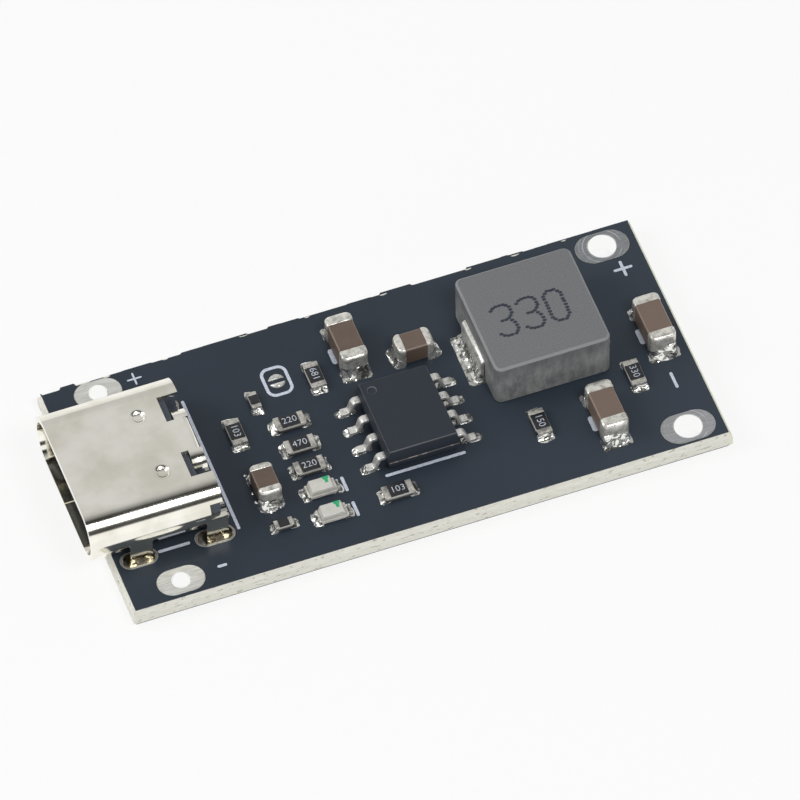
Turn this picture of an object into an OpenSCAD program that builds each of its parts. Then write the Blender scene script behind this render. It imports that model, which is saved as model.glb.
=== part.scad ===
// Lithium battery charger module: a small circuit board with a type C
// receptacle at one end, a step-down charger chip with its inductor, and
// plated wire terminals for the input and for the battery.
// Origin: centre of the board's underside. +X points to the battery end,
// +Y to the positive terminals, +Z up through the components.

/* [Board] */
// Thickness of the finished board with the mask on both faces
board_t = 1.2; // [1:0.1:1.6]
// Thickness of the solder mask and of the pads that lie level with it
skin_t = 0.04; // [0.03:0.01:0.06]
// Width of the scored bevel along every edge of the board
score_w = 0.17; // [0.1:0.01:0.18]
// Depth of the scored bevel
score_d = 0.3; // [0.2:0.01:0.4]
// Gap between a pad and the mask around it
mask_gap = 0.03; // [0.02:0.01:0.06]
// Thickness of the printed white lines
print_t = 0.015; // [0.01:0.005:0.03]
// Width of a printed white line
print_w = 0.17; // [0.12:0.01:0.22]

/* [Layout] */
// Gap from the receptacle's contact feet to the first column of parts
first_gap = 1.55; // [1.2:0.05:3]
// Gap between the first and the second column of parts
second_gap = 0.78; // [0.5:0.02:2]
// Gap between the second column of parts and the chip's pads
chip_clear = 1.24; // [1.1:0.02:2.5]
// Gap between the chip's pads and the inductor's pads
coil_clear = 0.52; // [0.3:0.01:2]
// Gap between the inductor's pads and the last column of parts
last_gap = 1.4; // [1.18:0.02:2.78]
// Gap between the last column of parts and the battery end
end_margin = 0.62; // [0.3:0.02:3]
// Gap between the rings of the leg slots and the input pads
slot_clear = 0.675; // [0.4:0.025:3]
// Gap between an input pad and the long edge of the board
edge_margin = 0.38; // [0.3:0.02:1]

/* [Wire terminals] */
// Radius of the plated battery wire holes
battery_hole_r = 0.75; // [0.6:0.05:0.8]
// Length of a battery pad
battery_pad_l = 2.85; // [2.4:0.05:3]
// Width of a battery pad
battery_pad_w = 1.85; // [1.75:0.05:2]
// Gap between a battery pad and the battery end of the board
battery_end_gap = 0.575; // [0.3:0.025:0.8]
// Gap between a battery pad and the long edge of the board
battery_side_gap = 0.315; // [0.2:0.005:0.4]
// Radius of the plated input wire holes
input_hole_r = 0.5; // [0.4:0.05:0.6]
// Length of an input pad
input_pad_l = 2.5; // [2:0.05:2.7]
// Width of an input pad
input_pad_w = 1.6; // [1.4:0.05:1.6]
// Gap between an input pad and the connector end of the board
input_end_gap = 1.73; // [0.5:0.01:2.5]
// Distance by which the positive input pad lies nearer to its edge
input_plus_shift = 0.16; // [0:0.01:0.17]
// Thickness of the plated wall inside a hole or slot
barrel_t = 0.05; // [0.03:0.01:0.07]

/* [Connector shell] */
// Length of the folded shell from its mouth to its rear edge
shell_l = 7.15; // [7.05:0.05:7.3]
// Width over the shell
shell_w = 8.94; // [8.9:0.01:9]
// Height of the shell
shell_h = 3.16; // [3.1:0.01:3.26]
// Thickness of the shell's sheet
shell_wall = 0.3; // [0.25:0.01:0.33]
// Height of the shell's underside over the board
shell_gap = 0.12; // [0.05:0.01:0.2]
// Length of the shell that stands out over the board's end
shell_overhang = 1.08; // [0.8:0.02:1.3]
// Sideways offset of the connector from the board's centre line
shell_offset = 0.05; // [0:0.01:0.1]
// Thickness of the flattened legs
leg_t = 0.27; // [0.22:0.01:0.28]
// Width of the front legs
front_leg_w = 1.2; // [1:0.05:1.3]
// Distance from the mouth to the middle of the front legs
front_leg_x = 2.63; // [2.5:0.01:2.8]
// Width of the rear legs
rear_leg_w = 1.15; // [1:0.05:1.2]
// Distance from the mouth to the middle of the rear legs
rear_leg_x = 6.76; // [6.7:0.01:6.8]
// Width of the relief slits beside a leg
leg_relief = 0.36; // [0.2:0.02:0.4]
// Radius of a pressed dimple in the top of the shell
dimple_r = 0.42; // [0.3:0.02:0.5]
// Depth of a pressed dimple
dimple_d = 0.13; // [0.08:0.01:0.16]
// Length of the slots in the board that take the front legs
front_slot_l = 1.76; // [1.7:0.02:1.9]
// Length of the slots in the board that take the rear legs
rear_slot_l = 1.9; // [1.7:0.02:2]
// Width of the slots in the board that take the legs
leg_slot_w = 0.86; // [0.6:0.02:0.9]
// Width of the tinned ring around a leg slot
leg_ring_w = 0.1; // [0.06:0.01:0.14]

/* [Connector inside] */
// Thickness of the tongue that carries the contacts
tongue_t = 0.7; // [0.6:0.02:0.76]
// Gap between the tongue's edge and the shell at each side
tongue_clear = 0.825; // [0.7:0.005:0.9]
// Distance from the mouth to the tip of the tongue
tongue_set = 0.98; // [0.8:0.02:1.2]
// Length of the moulding that closes the shell behind the tongue
moulding_l = 1.05; // [1:0.01:1.2]
// Space between two neighbouring contacts on the tongue
contact_space = 0.28; // [0.25:0.01:0.32]
// Thickness of one spring contact
contact_t = 0.12; // [0.1:0.01:0.14]
// Radius of the two locating pegs under the moulding
peg_r = 0.25; // [0.2:0.01:0.3]
// Clearance around a locating peg in its hole
peg_clear = 0.07; // [0.04:0.01:0.1]

/* [Charger chip] */
// Width of the chip's body between its rows of leads
chip_w = 3.9; // [3.8:0.02:4]
// Length of the chip's body along its rows of leads
chip_l = 4.9; // [4.8:0.02:5]
// Height of the chip's top over the board
chip_h = 1.5; // [1.4:0.02:1.7]
// Gap under the chip's body
chip_gap = 0.1; // [0.06:0.01:0.12]
// Spacing of the leads
lead_pitch = 1.27; // [1.25:0.01:1.28]
// Width of one lead
lead_w = 0.42; // [0.35:0.01:0.5]
// Thickness of one lead
lead_t = 0.2; // [0.16:0.01:0.24]
// Distance over the tips of two facing leads
lead_span = 6; // [5.9:0.02:6.2]

/* [Inductor] */
// Length of the inductor's body between its terminals
coil_l = 6.35; // [6.2:0.05:6.4]
// Width of the inductor's body
coil_w = 6.4; // [6.2:0.05:6.6]
// Height of the inductor's top over the board
coil_h = 2.8; // [2.4:0.1:3.4]
// Radius of the inductor's upright corners
coil_corner = 0.4; // [0.3:0.05:0.8]
// Bevel around the inductor's top
coil_bevel = 0.12; // [0.06:0.02:0.2]
// Gap under the inductor's body
coil_gap = 0.08; // [0.04:0.01:0.1]
// Width of the inductor's terminal straps
strap_w = 2.9; // [2.4:0.1:3.2]
// Thickness of the terminal straps
strap_t = 0.2; // [0.15:0.01:0.24]
// Height at which a strap leaves the body
strap_h = 1.45; // [1.2:0.05:1.6]

/* [Large capacitors] */
// Length of a large capacitor
large_l = 3.05; // [2.9:0.05:3.3]
// Width of a large capacitor
large_w = 1.45; // [1.35:0.05:1.65]
// Height of a large capacitor
large_h = 1.5; // [1.2:0.05:1.8]
// Length of its metal end caps
large_band = 0.5; // [0.3:0.05:0.6]
// Bevel along the edges of any capacitor
cap_bevel = 0.08; // [0.04:0.01:0.12]

/* [Small capacitors] */
// Length of a small capacitor
small_l = 2; // [1.9:0.05:2.1]
// Width of a small capacitor
small_w = 1.25; // [1.15:0.05:1.3]
// Height of a small capacitor
small_h = 1.25; // [0.8:0.05:1.3]
// Length of its metal end caps
small_band = 0.4; // [0.25:0.05:0.5]
// Thickness of the metal on any capacitor's end
cap_metal = 0.04; // [0.03:0.01:0.06]

/* [Resistors] */
// Length of a marked resistor
res_l = 1.6; // [1.5:0.05:1.65]
// Width of a marked resistor
res_w = 0.8; // [0.75:0.05:0.85]
// Height of a marked resistor's ceramic
res_h = 0.3; // [0.26:0.02:0.5]
// Length of its metal ends
res_band = 0.3; // [0.2:0.02:0.35]
// Thickness of its metal ends
res_metal = 0.04; // [0.03:0.01:0.06]
// Thickness of its black overcoat
res_coat = 0.07; // [0.05:0.01:0.1]
// Length of an unmarked small resistor
tiny_l = 1; // [0.95:0.05:1.05]
// Width of an unmarked small resistor
tiny_w = 0.5; // [0.45:0.05:0.55]
// Height of an unmarked small resistor's ceramic
tiny_h = 0.28; // [0.22:0.02:0.34]
// Length of its metal ends
tiny_band = 0.22; // [0.16:0.02:0.26]

/* [Indicator lamps] */
// Length of a lamp
lamp_l = 1.6; // [1.5:0.05:1.65]
// Width of a lamp
lamp_w = 0.8; // [0.75:0.05:0.85]
// Thickness of a lamp's base
lamp_base_t = 0.22; // [0.15:0.01:0.3]
// Height of a lamp's moulded lens over its base
lamp_lens_h = 0.38; // [0.25:0.01:0.5]
// Length of the lens at its foot
lamp_lens_l = 1.36; // [1.2:0.02:1.4]
// Slope of the lens ends, as the length lost at each end of its top
lamp_slope = 0.1; // [0.05:0.01:0.2]

/* [Solder] */
// Length that a solder fillet reaches past a part's end
fillet_l = 0.26; // [0.15:0.01:0.3]
// Height of a solder fillet as a share of the part's height
fillet_share = 0.6; // [0.3:0.05:0.8]
// Width left bare at each side of a solder fillet
fillet_inset = 0.04; // [0.02:0.01:0.1]

/* [Hidden] */
$fn = 48;

// Length by which a cutter passes the face that it opens
through = 1;
// Slack between metal and moulding that only touch
seat = 0.02;
top = board_t;
core_top = board_t - skin_t;

// Connector places, in its own frame: X from the mouth, Z from the board
shell_mid = shell_gap + shell_h / 2;
shell_top = shell_gap + shell_h;
leg_face = shell_w / 2 - seat;
leg_mid_y = leg_face - leg_t / 2;
slot_shift = 0.12;
leg_tip = 0.06;
leg_point = 0.2;
window_top = shell_mid - 0.5;
notch_x = shell_l - 1.14;
notch_slot = 0.41;
notch_in = 1.05;
notch_out = shell_w / 2 - 1.78;
ear_r = 1.1;
ear_sweep = 60;
flap_low = 0.9;
side_notch_x = shell_l - 0.7;
side_notch_low = shell_mid - 0.08;
side_notch_high = shell_mid + 0.85;
rear_cut_x = shell_l - 1.2;
rear_cut_w = shell_w - 1.1;
rear_cut_h = 0.7;
seam_w = 0.06;
dimple_x = notch_x - 1.28;
dimple_y = (notch_in + notch_out) / 2;
dimple_ball = (pow(dimple_r, 2) + pow(dimple_d, 2)) / (2 * dimple_d);
dimple_skin = shell_wall - 0.08;

// Moulding and contacts, in the connector's frame
moulding_end = shell_l - 0.1;
cavity_depth = moulding_end - moulding_l;
step_x = notch_x + notch_slot - seat;
step_z = shell_top - 1.05;
tongue_w = shell_w - 2 * shell_wall - 2 * tongue_clear;
tongue_rim = 0.595;
// Eleven equal steps lie between the two outermost contacts of a row
contact_pitch = (tongue_w - 2 * tongue_rim) / 11;
contact_w = contact_pitch - contact_space;
peg_x = cavity_depth + 0.35;
peg_y = leg_mid_y - 1.42;
root_l = 1;
root_t = tongue_t + 0.5;
plate_t = 0.15;
plate_set = 0.4;
latch_l = 1.1;
latch_d = 0.35;
latch_x = tongue_set + 1.22;
tip_r = 0.5;
contact_set = 0.37;
contact_proud = 0.04;
foot_reach = 0.6;
foot_end = shell_l + foot_reach;
jog_start = 0.1;
jog_w = 0.1;
jog_step = 0.13;
drop_x = cavity_depth + jog_start + 4 * jog_step;
// Each contact: place on the tongue and place of its foot, both in
// steps from the middle, and the number of its sideways jog
UPPER = [[5.5, 6.7, 0], [2.5, 5.1, 1], [1.5, 2.5, 2], [0.5, 0.5, 2]];
LOWER = [[5.5, 6.1, 0], [2.5, 4.5, 1], [1.5, 3.5, 2], [0.5, 1.5, 3]];
base_w = 2 * (6.7 * contact_pitch + contact_w / 2 + 0.14);

// Pad reach past a part's end and extra pad width beside it
pad_reach = fillet_l + 0.06;
pad_side = 0.08;
large_pad_l = large_l + 0.15;
large_pad_w = large_w + 0.15;
heat_pad_w = 2.4;
heat_pad_l = 3.3;
heat_pad_t = 0.06;
coil_pad_reach = 0.9;
coil_far_reach = 0.62;
coil_pad_side = 0.22;
coil_pad_in = 1.2;
lead_pad_w = 0.6;
lead_pad_in = 0.25;
jumper_r = 0.45;
jumper_split = 0.22;

// Columns of parts along the board, each from the one before it and a
// named gap, as distances from the connector end
feet_x = foot_end - shell_overhang;
first_left = feet_x + first_gap;
first_right = first_left + small_w + 2 * pad_side;
second_left = first_right + second_gap;
second_mid = second_left + res_l / 2 + pad_reach;
second_right = second_mid + res_l / 2 + pad_reach;
chip_x = second_right + chip_clear + lead_span / 2 + pad_reach;
chip_right = chip_x + lead_span / 2 + pad_reach;
coil_x = chip_right + coil_clear + coil_pad_reach + coil_l / 2;
coil_side = coil_x + coil_l / 2;
last_x = coil_side + coil_far_reach + last_gap + large_pad_w / 2 + pad_side;
board_l = last_x + large_pad_w / 2 + pad_side + end_margin;
// The connector's legs and the input pads side by side set the width
slot_side = leg_mid_y + leg_slot_w / 2 + leg_ring_w;
board_w = 2 * (slot_side + slot_clear + input_pad_w + edge_margin);
usb_end = -board_l / 2;
battery_end = board_l / 2;
mouth_x = usb_end - shell_overhang;
input_x = usb_end + input_end_gap + input_pad_l / 2;
input_minus_y = edge_margin + input_pad_w / 2 - board_w / 2;
input_plus_y = input_plus_shift - input_minus_y;
battery_x = battery_end - battery_end_gap - battery_pad_l / 2;
battery_y = board_w / 2 - battery_side_gap - battery_pad_w / 2;

// Each place: [X, distance to +Y from the centre line, turn]
CHIP = [usb_end + chip_x, -1.17, 0];
INPUT_CAP = [usb_end + chip_x - 1.35, 4.4, 90];
BOOST_CAP = [usb_end + chip_x + 1.87, 3.14, 0];
RES_F = [usb_end + chip_x - 1.97, -5.04, 0];
FILTER_CAP = [usb_end + first_left + small_w / 2 + pad_side, -2.55, 90];
RES_A = [usb_end + first_left + res_w / 2 + pad_side, 1.37, 90];
TINY_B = [usb_end + first_left + tiny_l / 2 + pad_reach, -4.97, 0];
TINY_A = [usb_end + second_left - 0.13, 2.98, 90];
RES_B = [usb_end + second_mid, 1.06, 0];
RES_C = [usb_end + second_mid, -0.52, 0];
RES_D = [usb_end + second_mid, -1.97, 0];
LAMP_A = [usb_end + second_mid + 0.07, -3.52, 0];
LAMP_B = [usb_end + second_mid + 0.07, -5.2, 0];
JUMPER = [usb_end + second_mid + 0.33, 3.93, 0];
RES_E = [usb_end + second_right + 0.62 + res_w / 2 + pad_side, 3.4, 90];
COIL = [usb_end + coil_x, 1.7, 0];
RES_G = [usb_end + coil_x - 1.53, -3.52, 90];
OUTPUT_CAP_A = [usb_end + coil_x + 1.79, -4.4, 90];
RES_H = [usb_end + coil_side + 0.49 + res_w / 2 + pad_side, -2.25, 90];
OUTPUT_CAP_B = [usb_end + last_x, 0, 90];

RESISTORS = [RES_A, RES_B, RES_C, RES_D, RES_E, RES_F, RES_G, RES_H];
TINY_RESISTORS = [TINY_A, TINY_B];
LARGE_CAPS = [OUTPUT_CAP_A, OUTPUT_CAP_B, INPUT_CAP];
SMALL_CAPS = [BOOST_CAP, FILTER_CAP];
LAMPS = [LAMP_A, LAMP_B];
LEG_SLOTS = [
    [mouth_x + front_leg_x - slot_shift, front_slot_l],
    [mouth_x + rear_leg_x - slot_shift, rear_slot_l]
];
SIDES = [-1, 1];

// Flat outlines

// A slot outline: l long over its round ends and w wide
module slot(l, w) {
    square([l - w, w], center = true);
    for (s = SIDES) translate([s * (l - w) / 2, 0]) circle(d = w);
}

// A rectangle with round corners
module round_rect(l, w, r) {
    square([l - 2 * r, w], center = true);
    square([l, w - 2 * r], center = true);
    for (sx = SIDES, sy = SIDES)
        translate([sx * (l / 2 - r), sy * (w / 2 - r)]) circle(r);
}

// Points of a strip of thickness t along stations of [x, z, heading]
function strip_side(stations, d) =
    [for (s = stations) [s[0] - d * sin(s[2]), s[1] + d * cos(s[2])]];
function strip(stations, t) = concat(
    strip_side(stations, t / 2),
    [for (i = [len(stations) - 1 : -1 : 0]) strip_side(stations, -t / 2)[i]]
);

// Stations of an S bend that drops from z0 to z1 with its first bend at x0
function s_bend(x0, z0, z1, r, turn, steps) =
    let (
        slope = (z0 - z1 - 2 * r * (1 - cos(turn))) / sin(turn),
        x1 = x0 + 2 * r * sin(turn) + slope * cos(turn)
    ) concat(
        [for (i = [0 : steps]) let (a = turn * i / steps) [x0 + r * sin(a), z0 - r * (1 - cos(a)), -a]],
        [for (i = [0 : steps]) let (a = turn * (1 - i / steps)) [x1 - r * sin(a), z1 + r * (1 - cos(a)), -a]]
    );

// A block with small bevels on all its edges, standing on its underside
module bevelled_block(l, w, h, c) {
    translate([0, 0, h / 2]) hull() {
        cube([l, w - 2 * c, h - 2 * c], center = true);
        cube([l - 2 * c, w, h - 2 * c], center = true);
        cube([l - 2 * c, w - 2 * c, h], center = true);
    }
}

// Puts children at a place on the board's top
module at(p) {
    translate([p[0], p[1], top]) rotate(p[2]) children();
}

// Puts children in the connector's own frame
module at_connector() {
    translate([mouth_x, shell_offset, top]) children();
}

// Turns an outline of Y and Z into a bar that runs l along X
module along_x(l) {
    rotate([90, 0, 90]) linear_extrude(l) children();
}

// Turns an outline of X and Z into a bar centred on the XZ plane
module across_y(w) {
    translate([0, w / 2, 0]) rotate([90, 0, 0]) linear_extrude(w) children();
}

// Board

function edge_section(w) = [
    [w / 2 - score_w, skin_t], [w / 2, skin_t + score_d],
    [w / 2, core_top - score_d], [w / 2 - score_w, core_top],
    [score_w - w / 2, core_top], [-w / 2, core_top - score_d],
    [-w / 2, skin_t + score_d], [score_w - w / 2, skin_t]
];

module battery_places() {
    for (s = SIDES) translate([battery_x, s * battery_y]) children();
}

module input_plus_place() {
    translate([input_x, input_plus_y]) children();
}

module input_minus_place() {
    translate([input_x, input_minus_y]) children();
}

module leg_slot_places(extra_l, extra_w) {
    for (s = SIDES, p = LEG_SLOTS)
        translate([p[0], shell_offset + s * leg_mid_y]) slot(p[1] + extra_l, leg_slot_w + extra_w);
}

module peg_places(r) {
    for (s = SIDES) translate([mouth_x + peg_x, shell_offset + s * peg_y]) circle(r);
}

// Openings that pass right through the laminate
module drill_outline() {
    battery_places() circle(battery_hole_r + barrel_t);
    input_plus_place() circle(input_hole_r + barrel_t);
    input_minus_place() circle(input_hole_r + barrel_t);
    leg_slot_places(2 * barrel_t, 2 * barrel_t);
    peg_places(peg_r + peg_clear);
}

// Terminal pads and slot rings, grown by g
module plated_outline(g) {
    battery_places() slot(battery_pad_l + 2 * g, battery_pad_w + 2 * g);
    input_plus_place() slot(input_pad_l + 2 * g, input_pad_w + 2 * g);
    input_minus_place() slot(input_pad_l + 2 * g, input_pad_w + 2 * g);
    leg_slot_places(2 * leg_ring_w + 2 * g, 2 * leg_ring_w + 2 * g);
    peg_places(peg_r + peg_clear);
}

// The two pads under a two-ended part, grown by g
module end_pads(l, w, band, g) {
    pad_l = band + pad_reach;
    for (s = SIDES)
        translate([s * (l / 2 - band + pad_l / 2), 0])
            square([pad_l + 2 * g, w + 2 * pad_side + 2 * g], center = true);
}

module flat_at(p) {
    translate([p[0], p[1]]) rotate(p[2]) children();
}

// Each half of the solder jumper is a round pad cut off at the split
module jumper_outline(g) {
    for (s = SIDES) intersection() {
        circle(jumper_r + g);
        translate([0, s * (jumper_r + jumper_split / 2)])
            square([4 * jumper_r, 2 * jumper_r + 2 * g], center = true);
    }
}

module lead_pads(g) {
    pad_l = lead_span / 2 + pad_reach - (chip_w / 2 + lead_pad_in);
    for (s = SIDES, i = [-1.5 : 1.5])
        translate([s * (lead_span / 2 + pad_reach - pad_l / 2), i * lead_pitch])
            square([pad_l + 2 * g, lead_pad_w + 2 * g], center = true);
}

module coil_pads(g) {
    for (s = SIDES) {
        reach = s > 0 ? coil_far_reach : coil_pad_reach;
        pad_l = reach + coil_pad_in;
        translate([s * (coil_l / 2 + reach - pad_l / 2), 0])
            square([pad_l + 2 * g, strap_w + 2 * coil_pad_side + 2 * g], center = true);
    }
}

module contact_pads(g) {
    for (c = concat(UPPER, LOWER), s = SIDES)
        translate([(moulding_end + foot_end) / 2, s * c[1] * contact_pitch])
            square([foot_end - moulding_end + 2 * g, contact_w + 0.04 + 2 * g], center = true);
}

module pads_outline(g) {
    for (p = RESISTORS) flat_at(p) end_pads(res_l, res_w, res_band, g);
    for (p = TINY_RESISTORS) flat_at(p) end_pads(tiny_l, tiny_w, tiny_band, g);
    for (p = LARGE_CAPS) flat_at(p) end_pads(large_pad_l, large_pad_w, large_band, g);
    for (p = SMALL_CAPS) flat_at(p) end_pads(small_l, small_w, small_band, g);
    for (p = LAMPS) flat_at(p) end_pads(lamp_l, lamp_w, res_band, g);
    flat_at(JUMPER) jumper_outline(g);
    flat_at(CHIP) {
        lead_pads(g);
        square([heat_pad_w + 2 * g, heat_pad_l + 2 * g], center = true);
    }
    flat_at(COIL) coil_pads(g);
    translate([mouth_x, shell_offset]) contact_pads(g);
}

module mask_sheet() {
    square([board_l - 2 * score_w, board_w - 2 * score_w], center = true);
}

module laminate_core() {
    color("#dcdccf") difference() {
        intersection() {
            translate([usb_end, 0, 0]) along_x(board_l) polygon(edge_section(board_w));
            across_y(board_w) polygon(edge_section(board_l));
        }
        translate([0, 0, -through]) linear_extrude(board_t + 2 * through) drill_outline();
    }
}

module solder_mask_top() {
    color("#2c3038") translate([0, 0, core_top]) linear_extrude(skin_t) difference() {
        mask_sheet();
        plated_outline(mask_gap);
        pads_outline(mask_gap);
    }
}

module solder_mask_bottom() {
    color("#2c3038") linear_extrude(skin_t) difference() {
        mask_sheet();
        plated_outline(mask_gap);
    }
}

module plated_terminal(hole_r, pad_l, pad_w) {
    color("#b9b9b4") difference() {
        union() {
            linear_extrude(skin_t) slot(pad_l, pad_w);
            translate([0, 0, core_top]) linear_extrude(skin_t) slot(pad_l, pad_w);
            cylinder(r = hole_r + barrel_t, h = board_t);
        }
        translate([0, 0, -through]) cylinder(r = hole_r, h = board_t + 2 * through);
    }
}

module battery_terminal(side) {
    translate([battery_x, side * battery_y, 0])
        plated_terminal(battery_hole_r, battery_pad_l, battery_pad_w);
}

module battery_plus_terminal() {
    battery_terminal(1);
}

module battery_minus_terminal() {
    battery_terminal(-1);
}

module input_plus_terminal() {
    input_plus_place() plated_terminal(input_hole_r, input_pad_l, input_pad_w);
}

module input_minus_terminal() {
    input_minus_place() plated_terminal(input_hole_r, input_pad_l, input_pad_w);
}

module leg_slot_plating() {
    color("#c9c5b4") difference() {
        union() {
            linear_extrude(skin_t) leg_slot_places(2 * leg_ring_w, 2 * leg_ring_w);
            translate([0, 0, core_top]) linear_extrude(skin_t) leg_slot_places(2 * leg_ring_w, 2 * leg_ring_w);
            linear_extrude(board_t) leg_slot_places(2 * barrel_t, 2 * barrel_t);
        }
        translate([0, 0, -through]) linear_extrude(board_t + 2 * through) leg_slot_places(0, 0);
    }
}

module component_pads() {
    color("#c6c6c2") translate([0, 0, core_top]) linear_extrude(skin_t) pads_outline(0);
}

// Printed lines

// One printed stroke between two points, with round ends
module stroke(a, b, w) {
    d = b - a;
    translate((a + b) / 2) rotate(atan2(d[1], d[0])) slot(norm(d) + w, w);
}

// A bar of printed line beside a part
module side_bar(p, off, len, w) {
    flat_at(p) stroke([-len / 2, off], [len / 2, off], w);
}

module jumper_ring() {
    ring_l = 1.92;
    ring_w = 1.46;
    ring_r = 0.5;
    difference() {
        round_rect(ring_w, ring_l, ring_r);
        round_rect(ring_w - 2 * print_w, ring_l - 2 * print_w, ring_r - print_w);
    }
}

module printed_lines() {
    back_x = shell_l + 0.78;
    side_y = shell_w / 2 - print_w;
    side_start = front_leg_x + 1;
    side_end = rear_leg_x - 1.56;
    chip_bar_l = lead_span - lead_pitch - 2 * lead_pad_in;
    chip_bar_y = -chip_l / 2 - print_w;
    lamp_bar_l = lamp_w;
    lamp_bar_x = lamp_l / 2 + pad_reach + 0.15;
    cap_bar_l = 0.7;
    cap_bar_w = 0.3;
    cap_bar_y = large_w / 2 + 0.02;
    color("#d5dbe6") translate([0, 0, top]) linear_extrude(print_t) {
        translate([mouth_x, shell_offset]) {
            stroke([back_x, -side_y], [back_x, side_y], print_w);
            for (s = SIDES) stroke([side_start, s * side_y], [side_end, s * side_y], print_w);
        }
        flat_at(JUMPER) jumper_ring();
        side_bar(CHIP, chip_bar_y, chip_bar_l, print_w);
        for (p = LAMPS)
            flat_at(p) stroke([lamp_bar_x, -lamp_bar_l / 2], [lamp_bar_x, lamp_bar_l / 2], print_w);
        for (p = LARGE_CAPS) side_bar(p, cap_bar_y, cap_bar_l, cap_bar_w);
    }
}

// Connector

module shell_section(inset) {
    translate([0, shell_mid]) slot(shell_w - 2 * inset, shell_h - 2 * inset);
}

// Slits beside a leg and the piece of lower side that the leg leaves open
module leg_window(leg_x, leg_w) {
    low = shell_gap - through;
    window_w = leg_w + 2 * leg_relief;
    inner_y = shell_w / 2 - shell_h / 2 + 0.2;
    plate_y = leg_face - leg_t;
    for (s = SIDES) {
        translate([leg_x - window_w / 2, s > 0 ? inner_y : -plate_y, low])
            cube([window_w, plate_y - inner_y, window_top - low]);
        for (e = SIDES)
            translate([leg_x + e * (leg_w + leg_relief) / 2, s * (inner_y + shell_w / 4), 0])
                across_y(shell_w / 2) {
                    translate([-leg_relief / 2, low]) square([leg_relief, window_top - low]);
                    translate([0, window_top]) circle(d = leg_relief);
                }
    }
}

module leg(leg_x, leg_w, side) {
    tip = leg_tip - board_t;
    half = leg_w / 2;
    translate([leg_x, side * leg_mid_y, 0]) across_y(leg_t) polygon([
        [-half, shell_mid], [-half, tip + leg_point], [leg_point - half, tip],
        [half - leg_point, tip], [half, tip + leg_point], [half, shell_mid]
    ]);
}

// Curled ear beside the rear flap, bent down about an axis along X
module ear(side) {
    bend = [for (i = [0 : 6]) let (a = ear_sweep * i / 6)
        [notch_in + (ear_r - shell_wall / 2) * sin(a),
         shell_top - shell_wall / 2 - (ear_r - shell_wall / 2) * (1 - cos(a)), -a]];
    path = concat([[notch_in - shell_wall, shell_top - shell_wall / 2, 0]], bend);
    translate([notch_x + notch_slot, 0, 0])
        mirror([0, side < 0 ? 1 : 0, 0])
            along_x(shell_l - notch_x - notch_slot) polygon(strip(path, shell_wall));
}

module dimple_balls(r) {
    for (s = SIDES)
        translate([dimple_x, s * dimple_y, shell_top - dimple_d + dimple_ball]) sphere(r);
}

module shell_tube() {
    difference() {
        along_x(shell_l) difference() {
            shell_section(0);
            shell_section(shell_wall);
        }
        leg_window(front_leg_x, front_leg_w);
        leg_window(rear_leg_x, rear_leg_w);
        translate([-through, -seam_w / 2, shell_gap - through])
            cube([shell_l + 2 * through, seam_w, shell_wall + 2 * through]);
        translate([rear_cut_x, -rear_cut_w / 2, shell_gap - through])
            cube([shell_l, rear_cut_w, through + rear_cut_h]);
        for (s = SIDES)
            translate([notch_x, s > 0 ? notch_in : -notch_out, shell_top - shell_wall - 0.4])
                cube([shell_l, notch_out - notch_in, shell_wall + through]);
    }
}

module connector_shell() {
    color("#cbc8bc") at_connector() difference() {
        union() {
            shell_tube();
            for (s = SIDES) {
                leg(front_leg_x, front_leg_w, s);
                leg(rear_leg_x, rear_leg_w, s);
                ear(s);
            }
            translate([shell_l - shell_wall, -notch_in, flap_low])
                cube([shell_wall, 2 * notch_in, shell_top - flap_low - shell_wall / 2]);
            intersection() {
                dimple_balls(dimple_ball + dimple_skin);
                translate([0, -shell_w / 2, shell_top - shell_wall - dimple_d])
                    cube([shell_l, shell_w, shell_wall]);
            }
        }
        dimple_balls(dimple_ball);
        for (s = SIDES)
            translate([side_notch_x, s > 0 ? shell_w / 4 : -shell_w / 2 - through, side_notch_low])
                cube([shell_l, shell_w / 4 + through, side_notch_high - side_notch_low]);
        translate([shell_l - shell_wall, 0, shell_top - shell_wall]) across_y(2 * notch_in) difference() {
            square(shell_wall + through);
            circle(shell_wall);
        }
    }
}

// Boxes along the way of one contact, from the tongue through the
// moulding and down to its foot on the board
module contact(y0, y1, jog, z0) {
    jog_x = cavity_depth + jog_start + jog * jog_step;
    tip_x = tongue_set + contact_set;
    half = contact_w / 2;
    translate([tip_x, y0 - half, z0]) cube([jog_x + jog_w - tip_x, contact_w, contact_t]);
    translate([jog_x, y0 - half, z0]) cube([jog_w, y1 - y0 + contact_w, contact_t]);
    translate([jog_x, y1 - half, z0]) cube([drop_x + contact_t - jog_x, contact_w, contact_t]);
    translate([drop_x, y1 - half, 0]) cube([contact_t, contact_w, z0 + contact_t]);
    translate([drop_x, y1 - half, 0]) cube([foot_end - drop_x, contact_w, contact_t]);
}

module contact_row(row, z0) {
    for (c = row, s = [0, 1])
        mirror([0, s, 0]) contact(c[0] * contact_pitch, c[1] * contact_pitch, c[2], z0);
}

module upper_row() {
    contact_row(UPPER, shell_mid + tongue_t / 2 + contact_proud - contact_t);
}

module lower_row() {
    contact_row(LOWER, shell_mid - tongue_t / 2 - contact_proud);
}

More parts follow.
